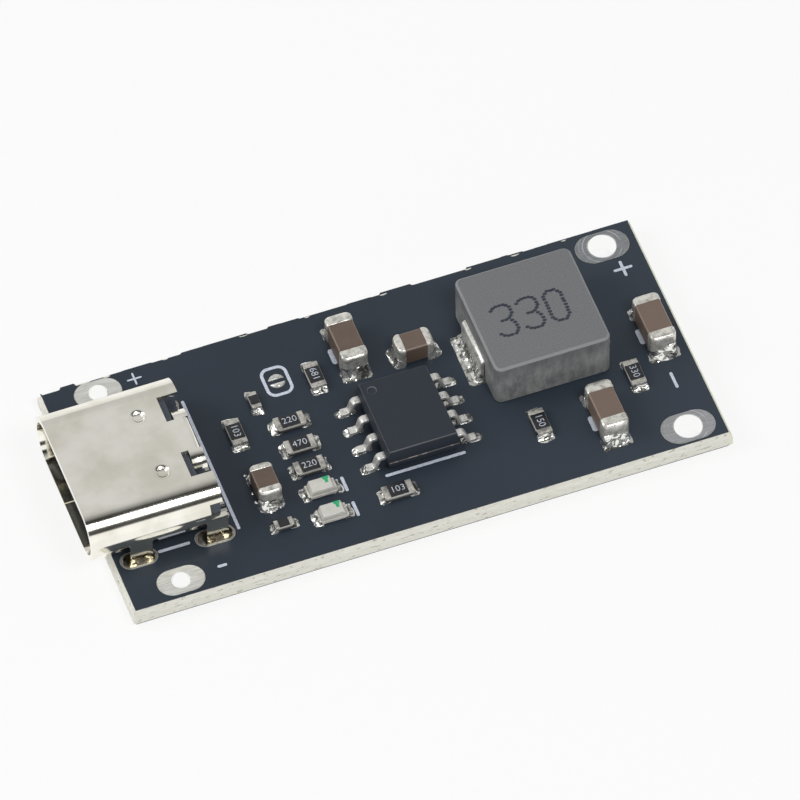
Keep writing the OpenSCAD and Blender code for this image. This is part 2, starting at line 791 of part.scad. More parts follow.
module connector_moulding() {
    color("#26282c") at_connector() difference() {
        union() {
            translate([cavity_depth, 0, 0]) along_x(moulding_end - cavity_depth)
                shell_section(shell_wall + seat);
            translate([cavity_depth + 0.1, -base_w / 2, 0])
                cube([moulding_end - cavity_depth - 0.1, base_w, shell_mid]);
            for (s = SIDES)
                translate([peg_x, s * peg_y, 0.3 - board_t]) cylinder(r = peg_r, h = board_t);
        }
        translate([step_x, -notch_out - seat, step_z]) cube([shell_l, 2 * (notch_out + seat), shell_h]);
        translate([shell_l - shell_wall - seat, -notch_in - seat, flap_low - seat])
            cube([shell_l, 2 * (notch_in + seat), shell_h]);
        upper_row();
        lower_row();
    }
}

module connector_tongue() {
    color("#1f2124") at_connector() difference() {
        union() {
            translate([tongue_set, 0, shell_mid - tongue_t / 2]) linear_extrude(tongue_t) {
                translate([tip_r, -tongue_w / 2]) square([cavity_depth - tongue_set - tip_r, tongue_w]);
                translate([0, tip_r - tongue_w / 2]) square([2 * tip_r, tongue_w - 2 * tip_r]);
                for (s = SIDES) translate([tip_r, s * (tongue_w / 2 - tip_r)]) circle(tip_r);
            }
            translate([cavity_depth - root_l, -tongue_w / 2, shell_mid - root_t / 2])
                cube([root_l, tongue_w, root_t]);
        }
        mid_plate_body();
        upper_row();
        lower_row();
    }
}

module mid_plate_body() {
    start = tongue_set + plate_set;
    translate([0, 0, shell_mid - plate_t / 2]) linear_extrude(plate_t) difference() {
        translate([start, -tongue_w / 2]) square([cavity_depth - start, tongue_w]);
        for (s = SIDES) translate([latch_x, s * tongue_w / 2]) square([latch_l, 2 * latch_d], center = true);
    }
}

module connector_mid_plate() {
    color("#b8b4a6") at_connector() mid_plate_body();
}

module connector_upper_contacts() {
    color("#d9b65c") at_connector() upper_row();
}

module connector_lower_contacts() {
    color("#d9b65c") at_connector() lower_row();
}

// Solder in the slots around the legs, low at the mouth side of each slot
module connector_leg_solder() {
    solder_low = 0.03;
    solder_top = board_t - 0.14;
    lead_in = 0.16;
    color("#c9b27a") for (s = SIDES, k = [0, 1]) {
        leg_x = mouth_x + (k == 0 ? front_leg_x : rear_leg_x);
        leg_w = k == 0 ? front_leg_w : rear_leg_w;
        place = LEG_SLOTS[k];
        translate([0, shell_offset + s * leg_mid_y, 0]) difference() {
            intersection() {
                translate([place[0], 0, solder_low]) linear_extrude(solder_top - solder_low)
                    slot(place[1] - 2 * seat, leg_slot_w - 2 * seat);
                translate([leg_x - leg_w / 2 - lead_in, -leg_slot_w, 0])
                    cube([2 * leg_w, 2 * leg_slot_w, board_t]);
            }
            translate([leg_x, -s * leg_mid_y, top]) leg(0, leg_w, s);
        }
    }
}

// Charger chip

module charger_chip_body() {
    draft = 0.12;
    waist = lead_t + 0.06;
    mid = (chip_h + chip_gap) / 2;
    dimple_place = [0.62 - chip_w / 2, chip_l / 2 - 0.7];
    color("#26272a") at(CHIP) difference() {
        hull() {
            translate([0, 0, mid]) cube([chip_w, chip_l, waist], center = true);
            translate([0, 0, chip_gap + skin_t / 2]) cube([chip_w - 2 * draft, chip_l - 2 * draft, skin_t], center = true);
            translate([0, 0, chip_h - skin_t / 2]) cube([chip_w - 2 * draft, chip_l - 2 * draft, skin_t], center = true);
        }
        translate([dimple_place[0], dimple_place[1], chip_h - 0.05]) cylinder(r = 0.24, h = through);
        translate([0, 0, chip_gap - through]) linear_extrude(heat_pad_t + through)
            square([heat_pad_w + 2 * seat, heat_pad_l + 2 * seat], center = true);
    }
}

module lead_outline() {
    mid = (chip_h + chip_gap) / 2;
    shoulder = chip_w / 2 + 0.22;
    bend_r = 0.2;
    bend_turn = 72;
    bend = s_bend(shoulder, mid, lead_t / 2, bend_r, bend_turn, 4);
    path = concat([[chip_w / 2, mid, 0]], bend, [[lead_span / 2, lead_t / 2, 0]]);
    polygon(strip(path, lead_t));
}

module charger_chip_leads() {
    color("#cfcfca") at(CHIP)
        for (s = [0, 1], i = [-1.5 : 1.5])
            mirror([s, 0, 0]) translate([0, i * lead_pitch, 0]) across_y(lead_w) lead_outline();
}

module charger_chip_heat_pad() {
    color("#cfcfca") at(CHIP) linear_extrude(chip_gap + heat_pad_t)
        square([heat_pad_w, heat_pad_l], center = true);
}

// Inductor

// Stations of a strap: out of the body, over the shoulder, down and under
function strap_path() =
    let (
        r = strap_t,
        out = coil_l / 2 + seat + strap_t / 2,
        low = strap_t / 2
    ) concat(
        [[coil_l / 2 - 0.5, strap_h, 0]],
        [for (i = [0 : 4]) let (a = 90 * i / 4) [out - r + r * sin(a), strap_h - r + r * cos(a), -a]],
        [for (i = [0 : 4]) let (a = 90 * i / 4) [out - r + r * cos(a), low + r - r * sin(a), -90 - a]],
        [[coil_l / 2 - 1.1, low, -180]]
    );

module straps(extra, wide) {
    for (s = [0, 1]) mirror([s, 0, 0]) across_y(strap_w + 2 * wide) polygon(strip(strap_path(), strap_t + extra));
}

module inductor_core() {
    color("#757678") at(COIL) difference() {
        hull() {
            translate([0, 0, coil_gap]) linear_extrude(coil_h - coil_gap - coil_bevel)
                round_rect(coil_l, coil_w, coil_corner, $fn = 32);
            translate([0, 0, coil_h - coil_bevel]) linear_extrude(coil_bevel)
                round_rect(coil_l - 2 * coil_bevel, coil_w - 2 * coil_bevel, coil_corner - coil_bevel, $fn = 32);
        }
        straps(2 * seat, seat);
    }
}

module inductor_terminals() {
    color("#d2d2cc") at(COIL) straps(0, 0);
}

// Capacitors

module ceramic(l, w, h) {
    t = cap_metal;
    color("#7b6459") translate([0, 0, t]) bevelled_block(l - 2 * t, w - 2 * t, h - 2 * t, cap_bevel - t / 2);
}

module end_caps(l, w, h, band) {
    t = cap_metal;
    color("#cdccc6") difference() {
        bevelled_block(l, w, h, cap_bevel);
        translate([0, 0, t]) bevelled_block(l - 2 * t, w - 2 * t, h - 2 * t, cap_bevel - t / 2);
        translate([0, 0, h / 2]) cube([l - 2 * band, w + through, h + through], center = true);
    }
}

module output_capacitor_a_body() {
    at(OUTPUT_CAP_A) ceramic(large_l, large_w, large_h);
}

module output_capacitor_a_caps() {
    at(OUTPUT_CAP_A) end_caps(large_l, large_w, large_h, large_band);
}

module output_capacitor_b_body() {
    at(OUTPUT_CAP_B) ceramic(large_l, large_w, large_h);
}

module output_capacitor_b_caps() {
    at(OUTPUT_CAP_B) end_caps(large_l, large_w, large_h, large_band);
}

module input_capacitor_body() {
    at(INPUT_CAP) ceramic(large_l, large_w, large_h);
}

module input_capacitor_caps() {
    at(INPUT_CAP) end_caps(large_l, large_w, large_h, large_band);
}

module boost_capacitor_body() {
    at(BOOST_CAP) ceramic(small_l, small_w, small_h);
}

module boost_capacitor_caps() {
    at(BOOST_CAP) end_caps(small_l, small_w, small_h, small_band);
}

module filter_capacitor_body() {
    at(FILTER_CAP) ceramic(small_l, small_w, small_h);
}

module filter_capacitor_caps() {
    at(FILTER_CAP) end_caps(small_l, small_w, small_h, small_band);
}

// Resistors and lamps

// Ceramic chip between the metal ends, standing on their lower lips
module chip_body(l, w, h) {
    color("#e4e2dc") translate([0, 0, res_metal + h / 2]) cube([l - 2 * res_metal, w, h], center = true);
}

// Two metal ends, each folded over the top, the end and the underside
module chip_ends(l, w, h, band) {
    t = res_metal;
    color("#c4c3bc") for (s = [0, 1]) mirror([s, 0, 0]) across_y(w) polygon([
        [l / 2, 0], [l / 2, h + 2 * t], [l / 2 - band, h + 2 * t], [l / 2 - band, h + t],
        [l / 2 - t, h + t], [l / 2 - t, t], [l / 2 - band, t], [l / 2 - band, 0]
    ]);
}

// Black overcoat on the top of a resistor, between its metal ends
module chip_coat(l, w, h, band, t) {
    color("#1e1f21") translate([0, 0, res_metal + h + t / 2])
        cube([l - 2 * band - 2 * seat, w - 2 * seat, t], center = true);
}

module resistor_a_body() {
    at(RESISTORS[0]) chip_body(res_l, res_w, res_h);
}

module resistor_b_body() {
    at(RESISTORS[1]) chip_body(res_l, res_w, res_h);
}

module resistor_c_body() {
    at(RESISTORS[2]) chip_body(res_l, res_w, res_h);
}

module resistor_d_body() {
    at(RESISTORS[3]) chip_body(res_l, res_w, res_h);
}

module resistor_e_body() {
    at(RESISTORS[4]) chip_body(res_l, res_w, res_h);
}

module resistor_f_body() {
    at(RESISTORS[5]) chip_body(res_l, res_w, res_h);
}

module resistor_g_body() {
    at(RESISTORS[6]) chip_body(res_l, res_w, res_h);
}

module resistor_h_body() {
    at(RESISTORS[7]) chip_body(res_l, res_w, res_h);
}

module resistor_overcoats() {
    for (p = RESISTORS) at(p) chip_coat(res_l, res_w, res_h, res_band, res_coat);
}

module resistor_ends() {
    for (p = RESISTORS) at(p) chip_ends(res_l, res_w, res_h, res_band);
}

module tiny_resistor_a_body() {
    at(TINY_RESISTORS[0]) chip_body(tiny_l, tiny_w, tiny_h);
}

module tiny_resistor_b_body() {
    at(TINY_RESISTORS[1]) chip_body(tiny_l, tiny_w, tiny_h);
}

module tiny_resistor_overcoats() {
    for (p = TINY_RESISTORS) at(p) chip_coat(tiny_l, tiny_w, tiny_h, tiny_band, res_coat);
}

module tiny_resistor_ends() {
    for (p = TINY_RESISTORS) at(p) chip_ends(tiny_l, tiny_w, tiny_h, tiny_band);
}

module lamp_base(p) {
    color("#d9d8cc") at(p) translate([0, 0, res_metal + lamp_base_t / 2])
        cube([lamp_l - 2 * res_metal, lamp_w, lamp_base_t], center = true);
}

// Lens with sloping ends, on the base between the metal ends
module lamp_lens(p) {
    half = lamp_lens_l / 2 - seat;
    color("#dcdccb") at(p) translate([0, 0, res_metal + lamp_base_t])
        across_y(lamp_w - 2 * seat) polygon([
            [-half, 0], [half, 0], [half, lamp_lens_h / 3],
            [half - lamp_slope, lamp_lens_h], [lamp_slope - half, lamp_lens_h], [-half, lamp_lens_h / 3]
        ]);
}

module charge_lamp_base() {
    lamp_base(LAMPS[0]);
}

module charge_lamp_lens() {
    lamp_lens(LAMPS[0]);
}

module full_lamp_base() {
    lamp_base(LAMPS[1]);
}

module full_lamp_lens() {
    lamp_lens(LAMPS[1]);
}

module lamp_ends() {
    for (p = LAMPS) at(p) chip_ends(lamp_l, lamp_w, lamp_base_t, (lamp_l - lamp_lens_l) / 2);
}

// Solder

// A hollow-faced ramp of height h and length f at a part's end, w wide
module fillet(h, f, w) {
    steps = 5;
    across_y(w) polygon(concat(
        [[0, 0]],
        [for (i = [0 : steps]) let (a = 90 * i / steps) [f * (1 - cos(90 - a)), h * (1 - sin(90 - a))]]
    ));
}

module end_fillets(l, w, h) {
    for (s = [0, 1]) mirror([s, 0, 0]) translate([l / 2, 0, 0])
        fillet(h * fillet_share, fillet_l, w - 2 * fillet_inset);
}

module solder_fillets() {
    color("#d8d8d4") {
        for (p = RESISTORS) at(p) end_fillets(res_l, res_w, res_h);
        for (p = TINY_RESISTORS) at(p) end_fillets(tiny_l, tiny_w, tiny_h);
        for (p = LAMPS) at(p) end_fillets(lamp_l, lamp_w, lamp_base_t);
        for (p = LARGE_CAPS) at(p) end_fillets(large_l, large_w, large_h);
        for (p = SMALL_CAPS) at(p) end_fillets(small_l, small_w, small_h);
        at(CHIP) for (s = [0, 1], i = [-1.5 : 1.5])
            mirror([s, 0, 0]) translate([lead_span / 2, i * lead_pitch, 0]) fillet(lead_t, fillet_l, lead_w);
        at(COIL) for (s = [0, 1])
            mirror([s, 0, 0]) translate([coil_l / 2 + seat + strap_t, 0, 0])
                fillet(strap_h / 2, (s > 0 ? coil_pad_reach : coil_far_reach) - strap_t - 2 * seat, strap_w);
    }
}

laminate_core();
solder_mask_top();
solder_mask_bottom();
printed_lines();
battery_plus_terminal();
battery_minus_terminal();
input_plus_terminal();
input_minus_terminal();
leg_slot_plating();
component_pads();
connector_shell();
connector_moulding();
connector_tongue();
connector_mid_plate();
connector_upper_contacts();
connector_lower_contacts();
connector_leg_solder();
charger_chip_body();
charger_chip_leads();
charger_chip_heat_pad();
inductor_core();
inductor_terminals();
output_capacitor_a_body();
output_capacitor_a_caps();
output_capacitor_b_body();
output_capacitor_b_caps();
input_capacitor_body();
input_capacitor_caps();
boost_capacitor_body();
boost_capacitor_caps();
filter_capacitor_body();
filter_capacitor_caps();
resistor_a_body();
resistor_b_body();
resistor_c_body();
resistor_d_body();
resistor_e_body();
resistor_f_body();
resistor_g_body();
resistor_h_body();
resistor_overcoats();
resistor_ends();
tiny_resistor_a_body();
tiny_resistor_b_body();
tiny_resistor_overcoats();
tiny_resistor_ends();
charge_lamp_base();
charge_lamp_lens();
full_lamp_base();
full_lamp_lens();
lamp_ends();
solder_fillets();
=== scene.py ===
# %% [markdown]
# # A lithium battery charger module
#
# This lesson dresses a small circuit board that is already modelled as exact
# solids: a type C receptacle, a charger chip, an inductor and a few chips of
# ceramic, all soldered to a black board. The solids fix every size. Here the
# sharp edges get their small roundings, the solder gets its flowing shape, and
# each surface gets a finish made only of shader nodes.

# %% Load the solids that fix every size
import math

import bmesh
import bpy
import numpy as np
from mathutils import Matrix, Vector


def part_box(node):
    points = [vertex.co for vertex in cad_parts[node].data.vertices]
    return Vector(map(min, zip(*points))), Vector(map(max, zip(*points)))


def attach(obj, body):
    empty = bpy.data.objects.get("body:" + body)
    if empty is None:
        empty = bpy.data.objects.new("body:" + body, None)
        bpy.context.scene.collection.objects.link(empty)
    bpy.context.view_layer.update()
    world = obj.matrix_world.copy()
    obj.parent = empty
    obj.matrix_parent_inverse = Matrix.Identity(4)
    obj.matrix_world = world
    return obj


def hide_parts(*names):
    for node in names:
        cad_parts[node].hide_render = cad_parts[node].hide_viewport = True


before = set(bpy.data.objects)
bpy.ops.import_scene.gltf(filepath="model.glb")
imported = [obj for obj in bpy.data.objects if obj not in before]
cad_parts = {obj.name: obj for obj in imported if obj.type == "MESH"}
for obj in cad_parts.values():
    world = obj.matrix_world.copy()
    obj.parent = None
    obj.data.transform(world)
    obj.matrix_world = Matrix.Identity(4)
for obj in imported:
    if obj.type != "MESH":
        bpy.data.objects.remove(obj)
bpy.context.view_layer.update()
MM = 0.001
print("nodes:", len(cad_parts))


# %% [markdown]
# ## Places
#
# Nothing is placed by eye. Each solid's own box says where its part sits, so
# the text, the solder and the marks follow the board if a size changes.

# %% Centres and sizes of the solids, in millimetres
def box_mm(node):
    """Lowest and highest corner of a node, in millimetres."""
    low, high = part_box(node)
    return np.array(low) / MM, np.array(high) / MM


def middle(node):
    """Half of the sum of a node's two corners."""
    low, high = box_mm(node)
    return (low + high) / 2


BOARD_TOP = box_mm("solder_mask_top")[1][2]
BOARD_LOW, BOARD_HIGH = box_mm("laminate_core")
print("board top", round(BOARD_TOP, 3), "from", BOARD_LOW.round(2), "to", BOARD_HIGH.round(2))


# %% [markdown]
# ## Shader sums written as sums
#
# A finish is mostly arithmetic on noise: this much grain, minus that much
# wear. Dragging nodes hides the arithmetic, so a small class wraps a socket
# and lets Python's own operators add the Math nodes.

# %% A socket that takes part in sums
class Wire:
    """One output of a node. Sums of wires add Math nodes to its finish."""

    def __init__(self, finish, socket):
        self.finish = finish
        self.socket = socket

    def __add__(self, other):
        return self.finish.math("ADD", self, other)

    def __sub__(self, other):
        return self.finish.math("SUBTRACT", self, other)

    def __rsub__(self, other):
        return self.finish.math("SUBTRACT", other, self)

    def __mul__(self, other):
        return self.finish.math("MULTIPLY", self, other)

    def __truediv__(self, other):
        return self.finish.math("DIVIDE", self, other)

    def __rtruediv__(self, other):
        return self.finish.math("DIVIDE", other, self)

    def __pow__(self, other):
        return self.finish.math("POWER", self, other)

    __radd__ = __add__
    __rmul__ = __mul__


# %% A finish, built from nodes that one method adds
class Finish:
    """A material whose nodes come from one method, node()."""

    def __init__(self, name):
        self.material = bpy.data.materials.new(name)
        self.material.use_nodes = True
        self.tree = self.material.node_tree
        self.tree.nodes.clear()

    def node(self, kind, inputs=None, output=0, stops=None, **settings):
        """Adds a node: its settings come first, then the values or links of its sockets."""
        made = self.tree.nodes.new("ShaderNode" + kind)
        for key, value in settings.items():
            setattr(made, key, value)
        if stops:
            ramp = made.color_ramp.elements
            while len(ramp) < len(stops):
                ramp.new(0.5)
            for element, (place, shade) in zip(ramp, stops):
                element.position = place
                element.color = (shade, shade, shade, 1) if isinstance(shade, (int, float)) else (*shade, 1)
        for key, value in (inputs or {}).items():
            self.feed(made.inputs[key], value)
        return Wire(self, made.outputs[output])

    def feed(self, socket, value):
        """Links a wire to a socket, or sets the socket to a plain value."""
        if isinstance(value, Wire):
            self.tree.links.new(value.socket, socket)
        elif isinstance(value, tuple) and len(value) == 3 and len(socket.default_value) == 4:
            socket.default_value = (*value, 1)
        else:
            socket.default_value = value

    def math(self, operation, *values, clamp=False):
        """One Math node on numbers or wires."""
        return self.node("Math", dict(enumerate(values)), operation=operation, use_clamp=clamp)

    def place(self, stretch=(1, 1, 1)):
        """Object coordinates in millimetres, times a stretch for each axis."""
        spot = self.node("TexCoord", output="Object")
        scale = tuple(s / MM for s in stretch)
        return self.node("VectorMath", {0: spot, 1: scale}, operation="MULTIPLY")

    def axis(self, letter):
        """One object coordinate in millimetres, as a number."""
        spot = self.node("SeparateXYZ", {0: self.place()}, output=letter)
        return spot

    def distance(self, spot_mm):
        """How far a point lies from an upright line, in millimetres."""
        flat = self.node("VectorMath", {0: self.place(), 1: tuple(map(float, spot_mm))}, operation="SUBTRACT")
        level = self.node("VectorMath", {0: flat, 1: (1.0, 1.0, 0.0)}, operation="MULTIPLY")
        return self.node("VectorMath", {0: level}, output="Value", operation="LENGTH")

    def noise(self, per_mm, detail=2.0, rough=0.5, stretch=(1, 1, 1), warp=0.0):
        """Cloudy noise from 0 to 1 with that many clouds per millimetre."""
        return self.node("TexNoise", {"Vector": self.place(stretch), "Scale": per_mm, "Detail": detail,
                                      "Roughness": rough, "Distortion": warp})

    def cells(self, per_mm, feature="F1", output="Distance", stretch=(1, 1, 1)):
        """Distance to the nearest of scattered points, or the cell's random colour."""
        return self.node("TexVoronoi", {"Vector": self.place(stretch), "Scale": per_mm}, output=output, feature=feature)

    def step(self, wire, low, high):
        """0 below low, 1 above high, and a smooth ramp between."""
        return self.node("MapRange", {"Value": wire, "From Min": low, "From Max": high},
                         interpolation_type="SMOOTHSTEP")

    def mix(self, share, first, second, blend="MIX"):
        """A blend of two colours by a share from 0 to 1."""
        sockets = {0: share, 6: first, 7: second}
        return self.node("Mix", sockets, output=2, data_type="RGBA", blend_type=blend)

    def bump(self, height, strength=0.3, depth_mm=0.01, under=None):
        """Turns a height from 0 to 1 into a tilt of the surface."""
        inputs = {"Height": height, "Strength": strength, "Distance": depth_mm * MM}
        if under is not None:
            inputs["Normal"] = under
        return self.node("Bump", inputs)

    def surface(self, **sockets):
        """Ends the finish with a Principled shader: names use _ for a space."""
        shader = self.tree.nodes.new("ShaderNodeBsdfPrincipled")
        for key, value in sockets.items():
            self.feed(shader.inputs[key.replace("_", " ")], value)
        end = self.tree.nodes.new("ShaderNodeOutputMaterial")
        self.tree.links.new(shader.outputs[0], end.inputs[0])
        return self.material


def colour(r, g, b):
    """A colour as a paint chart writes it, 0 to 255, made linear for the shader."""
    def linear(v):
        v = v / 255
        return v / 12.92 if v <= 0.04045 else ((v + 0.055) / 1.055) ** 2.4
    return (linear(r), linear(g), linear(b))


# %% [markdown]
# ## The board
#
# Black solder mask is a thin lacquer: dark slate, smooth, with a faint orange
# peel. Copper areas below lift it by a few hundredths of a millimetre, which
# shows only as a slight change of gloss, so broad noise moves the roughness.

# %% Solder mask
def solder_mask(name):
    """Slate lacquer: colour from broad noise, fine orange peel in the bump."""
    f = Finish(name)
    broad = f.noise(0.25, detail=3)
    grain = f.noise(14, detail=2)
    dust = f.step(f.cells(2.6), 0.055, 0.03)
    tone = f.mix(broad, colour(42, 50, 60), colour(50, 59, 70))
    # Painted light: the lacquer is made lighter towards +X, where the light on the board falls brighter.
    tone = f.mix(f.step(f.axis("X"), -4.0, 14.0) * 0.35, tone, colour(62, 72, 83))
    tone = f.mix(dust * 0.12, tone, colour(120, 125, 130))
    return f.surface(Base_Color=tone, Roughness=0.36 + 0.12 * broad + 0.05 * grain,
                     Normal=f.bump(grain, 0.12, 0.006), Specular_IOR_Level=0.25)


MASK = solder_mask("solder_mask")
print("finish:", MASK.name)


# %% [markdown]
# The laminate under the mask is glass cloth in resin. Where it is scored and
# broken at the edge, pale fibres run along the board in layers, with tiny
# chips, so its noise is stretched along X and Y and thin along Z.

# %% Glass cloth laminate
def laminate(name):
    """Cream resin with layers of glass: long thin noise plus broken specks."""
    f = Finish(name)
    layers = f.noise(1.0, detail=5, rough=0.65, stretch=(1.2, 1.2, 9))
    fibres = f.noise(1.0, detail=4, rough=0.7, stretch=(9, 9, 2))
    specks = f.step(f.noise(4.5, detail=4, rough=0.7, stretch=(0.45, 0.45, 1.6)), 0.58, 0.66)
    tone = f.mix(layers, colour(202, 200, 184), colour(246, 245, 239))
    tone = f.mix(specks * 0.7, tone, colour(124, 118, 92))
    tone = f.mix(f.step(f.axis("X"), BOARD_HIGH[0] - 0.3, BOARD_HIGH[0]) * 0.6, tone, colour(226, 232, 196))
    return f.surface(Base_Color=tone, Roughness=0.62 + 0.2 * fibres,
                     Normal=f.bump(fibres + layers, 0.5, 0.02), Subsurface_Weight=0.0)


LAMINATE = laminate("laminate")


# %% [markdown]
# White print is a thick matt ink. It is not pure white: the slate shows
# through a little, and the ink's edge is uneven.

# %% White ink
def white_ink(name):
    """Cool white with faint thin places."""
    f = Finish(name)
    thin = f.noise(9, detail=3)
    tone = f.mix(f.step(thin, 0.35, 0.75), colour(214, 220, 232), colour(182, 190, 206))
    return f.surface(Base_Color=tone, Roughness=0.7 + 0.15 * thin, Normal=f.bump(thin, 0.2, 0.004))


INK = white_ink("white_ink")


# %% [markdown]
# ## Tin and solder
#
# Terminals are levelled with hot air and then scratched by probes, so their
# tin is grey and streaked. Solder is the same metal, but it froze from a
# liquid: a mirror with a few dull patches where flux stayed.

# %% Tin on the pads
def pad_tin(name, shade, scratch_turn=0.6, hole=None):
    """Grey tin: stretched noise for scratches, broad noise for dull areas. Pale arcs,
    noise of the distance from the hole, ring the hole. The hole's wall, which faces
    sideways, was washed clean by solder and is a mirror."""
    f = Finish(name)
    upright = f.node("SeparateXYZ", {0: f.node("NewGeometry", output="Normal")}, output="Z")
    wall = 1.0 - f.step(f.math("ABSOLUTE", upright), 0.2, 0.6)
    broad = f.noise(0.9, detail=3)
    turned = f.node("Mapping", {"Vector": f.place((1.2, 14, 1)), "Rotation": (0.0, 0.0, scratch_turn)})
    scratch = f.node("TexNoise", {"Vector": turned, "Scale": 1.0, "Detail": 4.0, "Roughness": 0.6})
    tone = f.mix(f.step(scratch, 0.4, 0.62), tuple(0.8 * c for c in colour(*shade)), colour(*shade))
    if hole is not None:
        away = f.distance(hole)
        rings = f.node("TexNoise", {"Vector": f.node("CombineXYZ", {0: away * 11.0}), "Scale": 1.0, "Detail": 2.0})
        arcs = f.step(rings, 0.52, 0.62) * f.step(f.noise(0.8), 0.42, 0.58) * f.step(away, 1.5, 0.9)
        tone = f.mix(arcs * 0.75, tone, colour(226, 228, 230))
    tone = f.mix(wall, tone, colour(248, 248, 246))
    return f.surface(Base_Color=tone, Metallic=f.math("MAXIMUM", 0.3 + 0.3 * broad, wall),
                     Roughness=(0.34 + 0.2 * broad) * (1.0 - 0.85 * wall), Normal=f.bump(scratch, 0.2, 0.006))


RING_TIN = pad_tin("ring_tin", (158, 155, 146))
# Painted reflection: one tin in lit and shaded copies; the input pads get a light shade for the bright light they
# mirror, the battery pads darker shades.
INPUT_TIN = pad_tin("input_pad_tin", (226, 226, 220))
BATTERY_PLUS_TIN = pad_tin("battery_plus_tin", (146, 149, 152), 1.1, middle("battery_plus_terminal"))
BATTERY_MINUS_TIN = pad_tin("battery_minus_tin", (170, 172, 174), 0.4, middle("battery_minus_terminal"))


# %% Matt tin on leads and end caps, and bright solder
def plated_tin(name, shade, rough, grain_mm=10.0, deep=0.62, relief_mm=0.01):
    """Matt tin plate: a fine grain that varies colour, gloss and tilt, with small dull
    pits. Deep is how dark its hollows are."""
    f = Finish(name)
    grain = f.noise(grain_mm, detail=4, rough=0.6)
    broad = f.noise(2.2, detail=2)
    dark = tuple(deep * c for c in colour(*shade))
    pits = f.step(f.noise(2.2 * grain_mm, detail=3, rough=0.6), 0.56, 0.68)
    tone = f.mix(f.step(grain * 0.5 + broad * 0.5, 0.3, 0.62), dark, colour(*shade))
    tone = f.mix(pits * 0.55, tone, dark)
    return f.surface(Base_Color=tone, Metallic=0.45 + 0.4 * broad, Roughness=rough + 0.2 * grain,
                     Normal=f.bump(grain, 0.4, relief_mm))


def bright_solder(name, shade=(240, 240, 235), flux=(92, 74, 44), flux_share=0.0, relief_mm=0.1):
    """A frozen mirror of tin: wrinkles tilt it, painted dark reflections lie in patches
    between bright swells, and flux stains it."""
    f = Finish(name)
    dimple_and_painted_dark_reflection = f.step(f.noise(2.4, detail=1, warp=0.6), 0.5, 0.58)
    wrinkle = f.noise(1.7, detail=1, warp=0.9)
    fine = f.noise(5, detail=1)
    stain = f.step(f.noise(1.7, detail=2), 0.62 - 0.3 * flux_share, 0.8 - 0.3 * flux_share)
    # Painted dark reflection: noise patches are darkened towards 12 percent of the shade.
    tone = f.mix(dimple_and_painted_dark_reflection * 0.8, colour(*shade), tuple(0.12 * c for c in colour(*shade)))
    tone = f.mix(stain * (0.25 + 0.75 * flux_share), tone, colour(*flux))
    return f.surface(Base_Color=tone, Metallic=0.8 - 0.25 * stain, Roughness=0.08 + 0.25 * stain + 0.06 * fine,
                     Normal=f.bump(wrinkle + 0.3 * fine, 0.9, relief_mm))


LEAD_TIN = plated_tin("lead_tin", (240, 239, 234), 0.2, 6.0, 0.55, 0.02)
CHIP_END_TIN = plated_tin("chip_end_tin", (218, 215, 207), 0.26, 5.0, 0.34, 0.04)
CAP_TIN = plated_tin("cap_tin", (242, 240, 231), 0.2, 3.6, 0.42, 0.05)
SOLDER = bright_solder("bright_solder")
# Painted reflection: the pools are a darker copy of the same solder, for the dark board they mirror.
POOL_SOLDER = bright_solder("pool_solder", shade=(196, 196, 190), relief_mm=0.13)
LEG_SOLDER = bright_solder("leg_solder", shade=(138, 130, 110), flux=(48, 42, 33), flux_share=0.8)


# %% [markdown]
# ## The receptacle
#
# The shell is stainless sheet with a nickel coat: warm, bright and almost
# smooth, with faint drawing lines along the fold. The moulding is black
# resin that has been through the oven.

# %% Nickel plated sheet
DIMPLES = [(4.73, 1.87), (4.73, -1.87)]


def nickel(name):
    """Warm mirror-like metal, brushed very lightly along X; each pressed dimple draws the
    sheet down round its centre."""
    f = Finish(name)
    lines = f.noise(1.0, detail=4, rough=0.6, stretch=(0.7, 16, 16))
    cloud = f.noise(0.5, detail=3)
    tone = f.mix(f.step(cloud, 0.3, 0.7), colour(228, 225, 211), colour(249, 246, 237))
    low, high = box_mm("connector_shell")
    spring = [f.distance((low[0] + x, (low[1] + high[1]) / 2 + y, 0)) for x, y in DIMPLES]
    dimple_and_painted_dark_reflection = f.step(f.math("MINIMUM", *spring), 0.2, 0.5)
    return f.surface(Base_Color=tone, Metallic=1.0, Roughness=0.08 + 0.05 * cloud + 0.03 * lines,
                     Normal=f.bump(dimple_and_painted_dark_reflection, 1.0, 0.08, f.bump(lines, 0.05, 0.004)))


def black_moulding(name, shade=(44, 47, 52), rough=0.45):
    """Black resin with a fine matt texture."""
    f = Finish(name)
    grain = f.noise(22, detail=2)
    tone = f.mix(grain, tuple(0.75 * c for c in colour(*shade)), tuple(1.3 * c for c in colour(*shade)))
    return f.surface(Base_Color=tone, Roughness=rough + 0.15 * grain, Normal=f.bump(grain, 0.3, 0.006))


TIN_FROM_X = box_mm("connector_tongue")[1][0]


def contact_gold(name):
    """Gold over nickel on the tongue, rubbed along each contact; tin on the soldered feet."""
    f = Finish(name)
    rub = f.noise(1.0, detail=3, stretch=(1.5, 14, 14))
    tinned = f.step(f.axis("X"), TIN_FROM_X, TIN_FROM_X + 0.3)
    tone = f.mix(rub, colour(196, 150, 70), colour(232, 196, 118))
    tone = f.mix(tinned, tone, colour(176, 176, 170))
    return f.surface(Base_Color=tone, Metallic=1.0, Roughness=0.2 + 0.15 * rub)


NICKEL = nickel("nickel_sheet")
MOULDING = black_moulding("black_moulding", (70, 76, 87))
GOLD = contact_gold("contact_gold")


# %% [markdown]
# ## Chips of resin, powder and ceramic
#
# The charger chip is moulded resin with a fine spark texture. The inductor is
# pressed iron powder with a grey coat: its top is even with small specks, and
# its sides keep vertical streaks from the press, so the finish asks which way
# the surface faces.

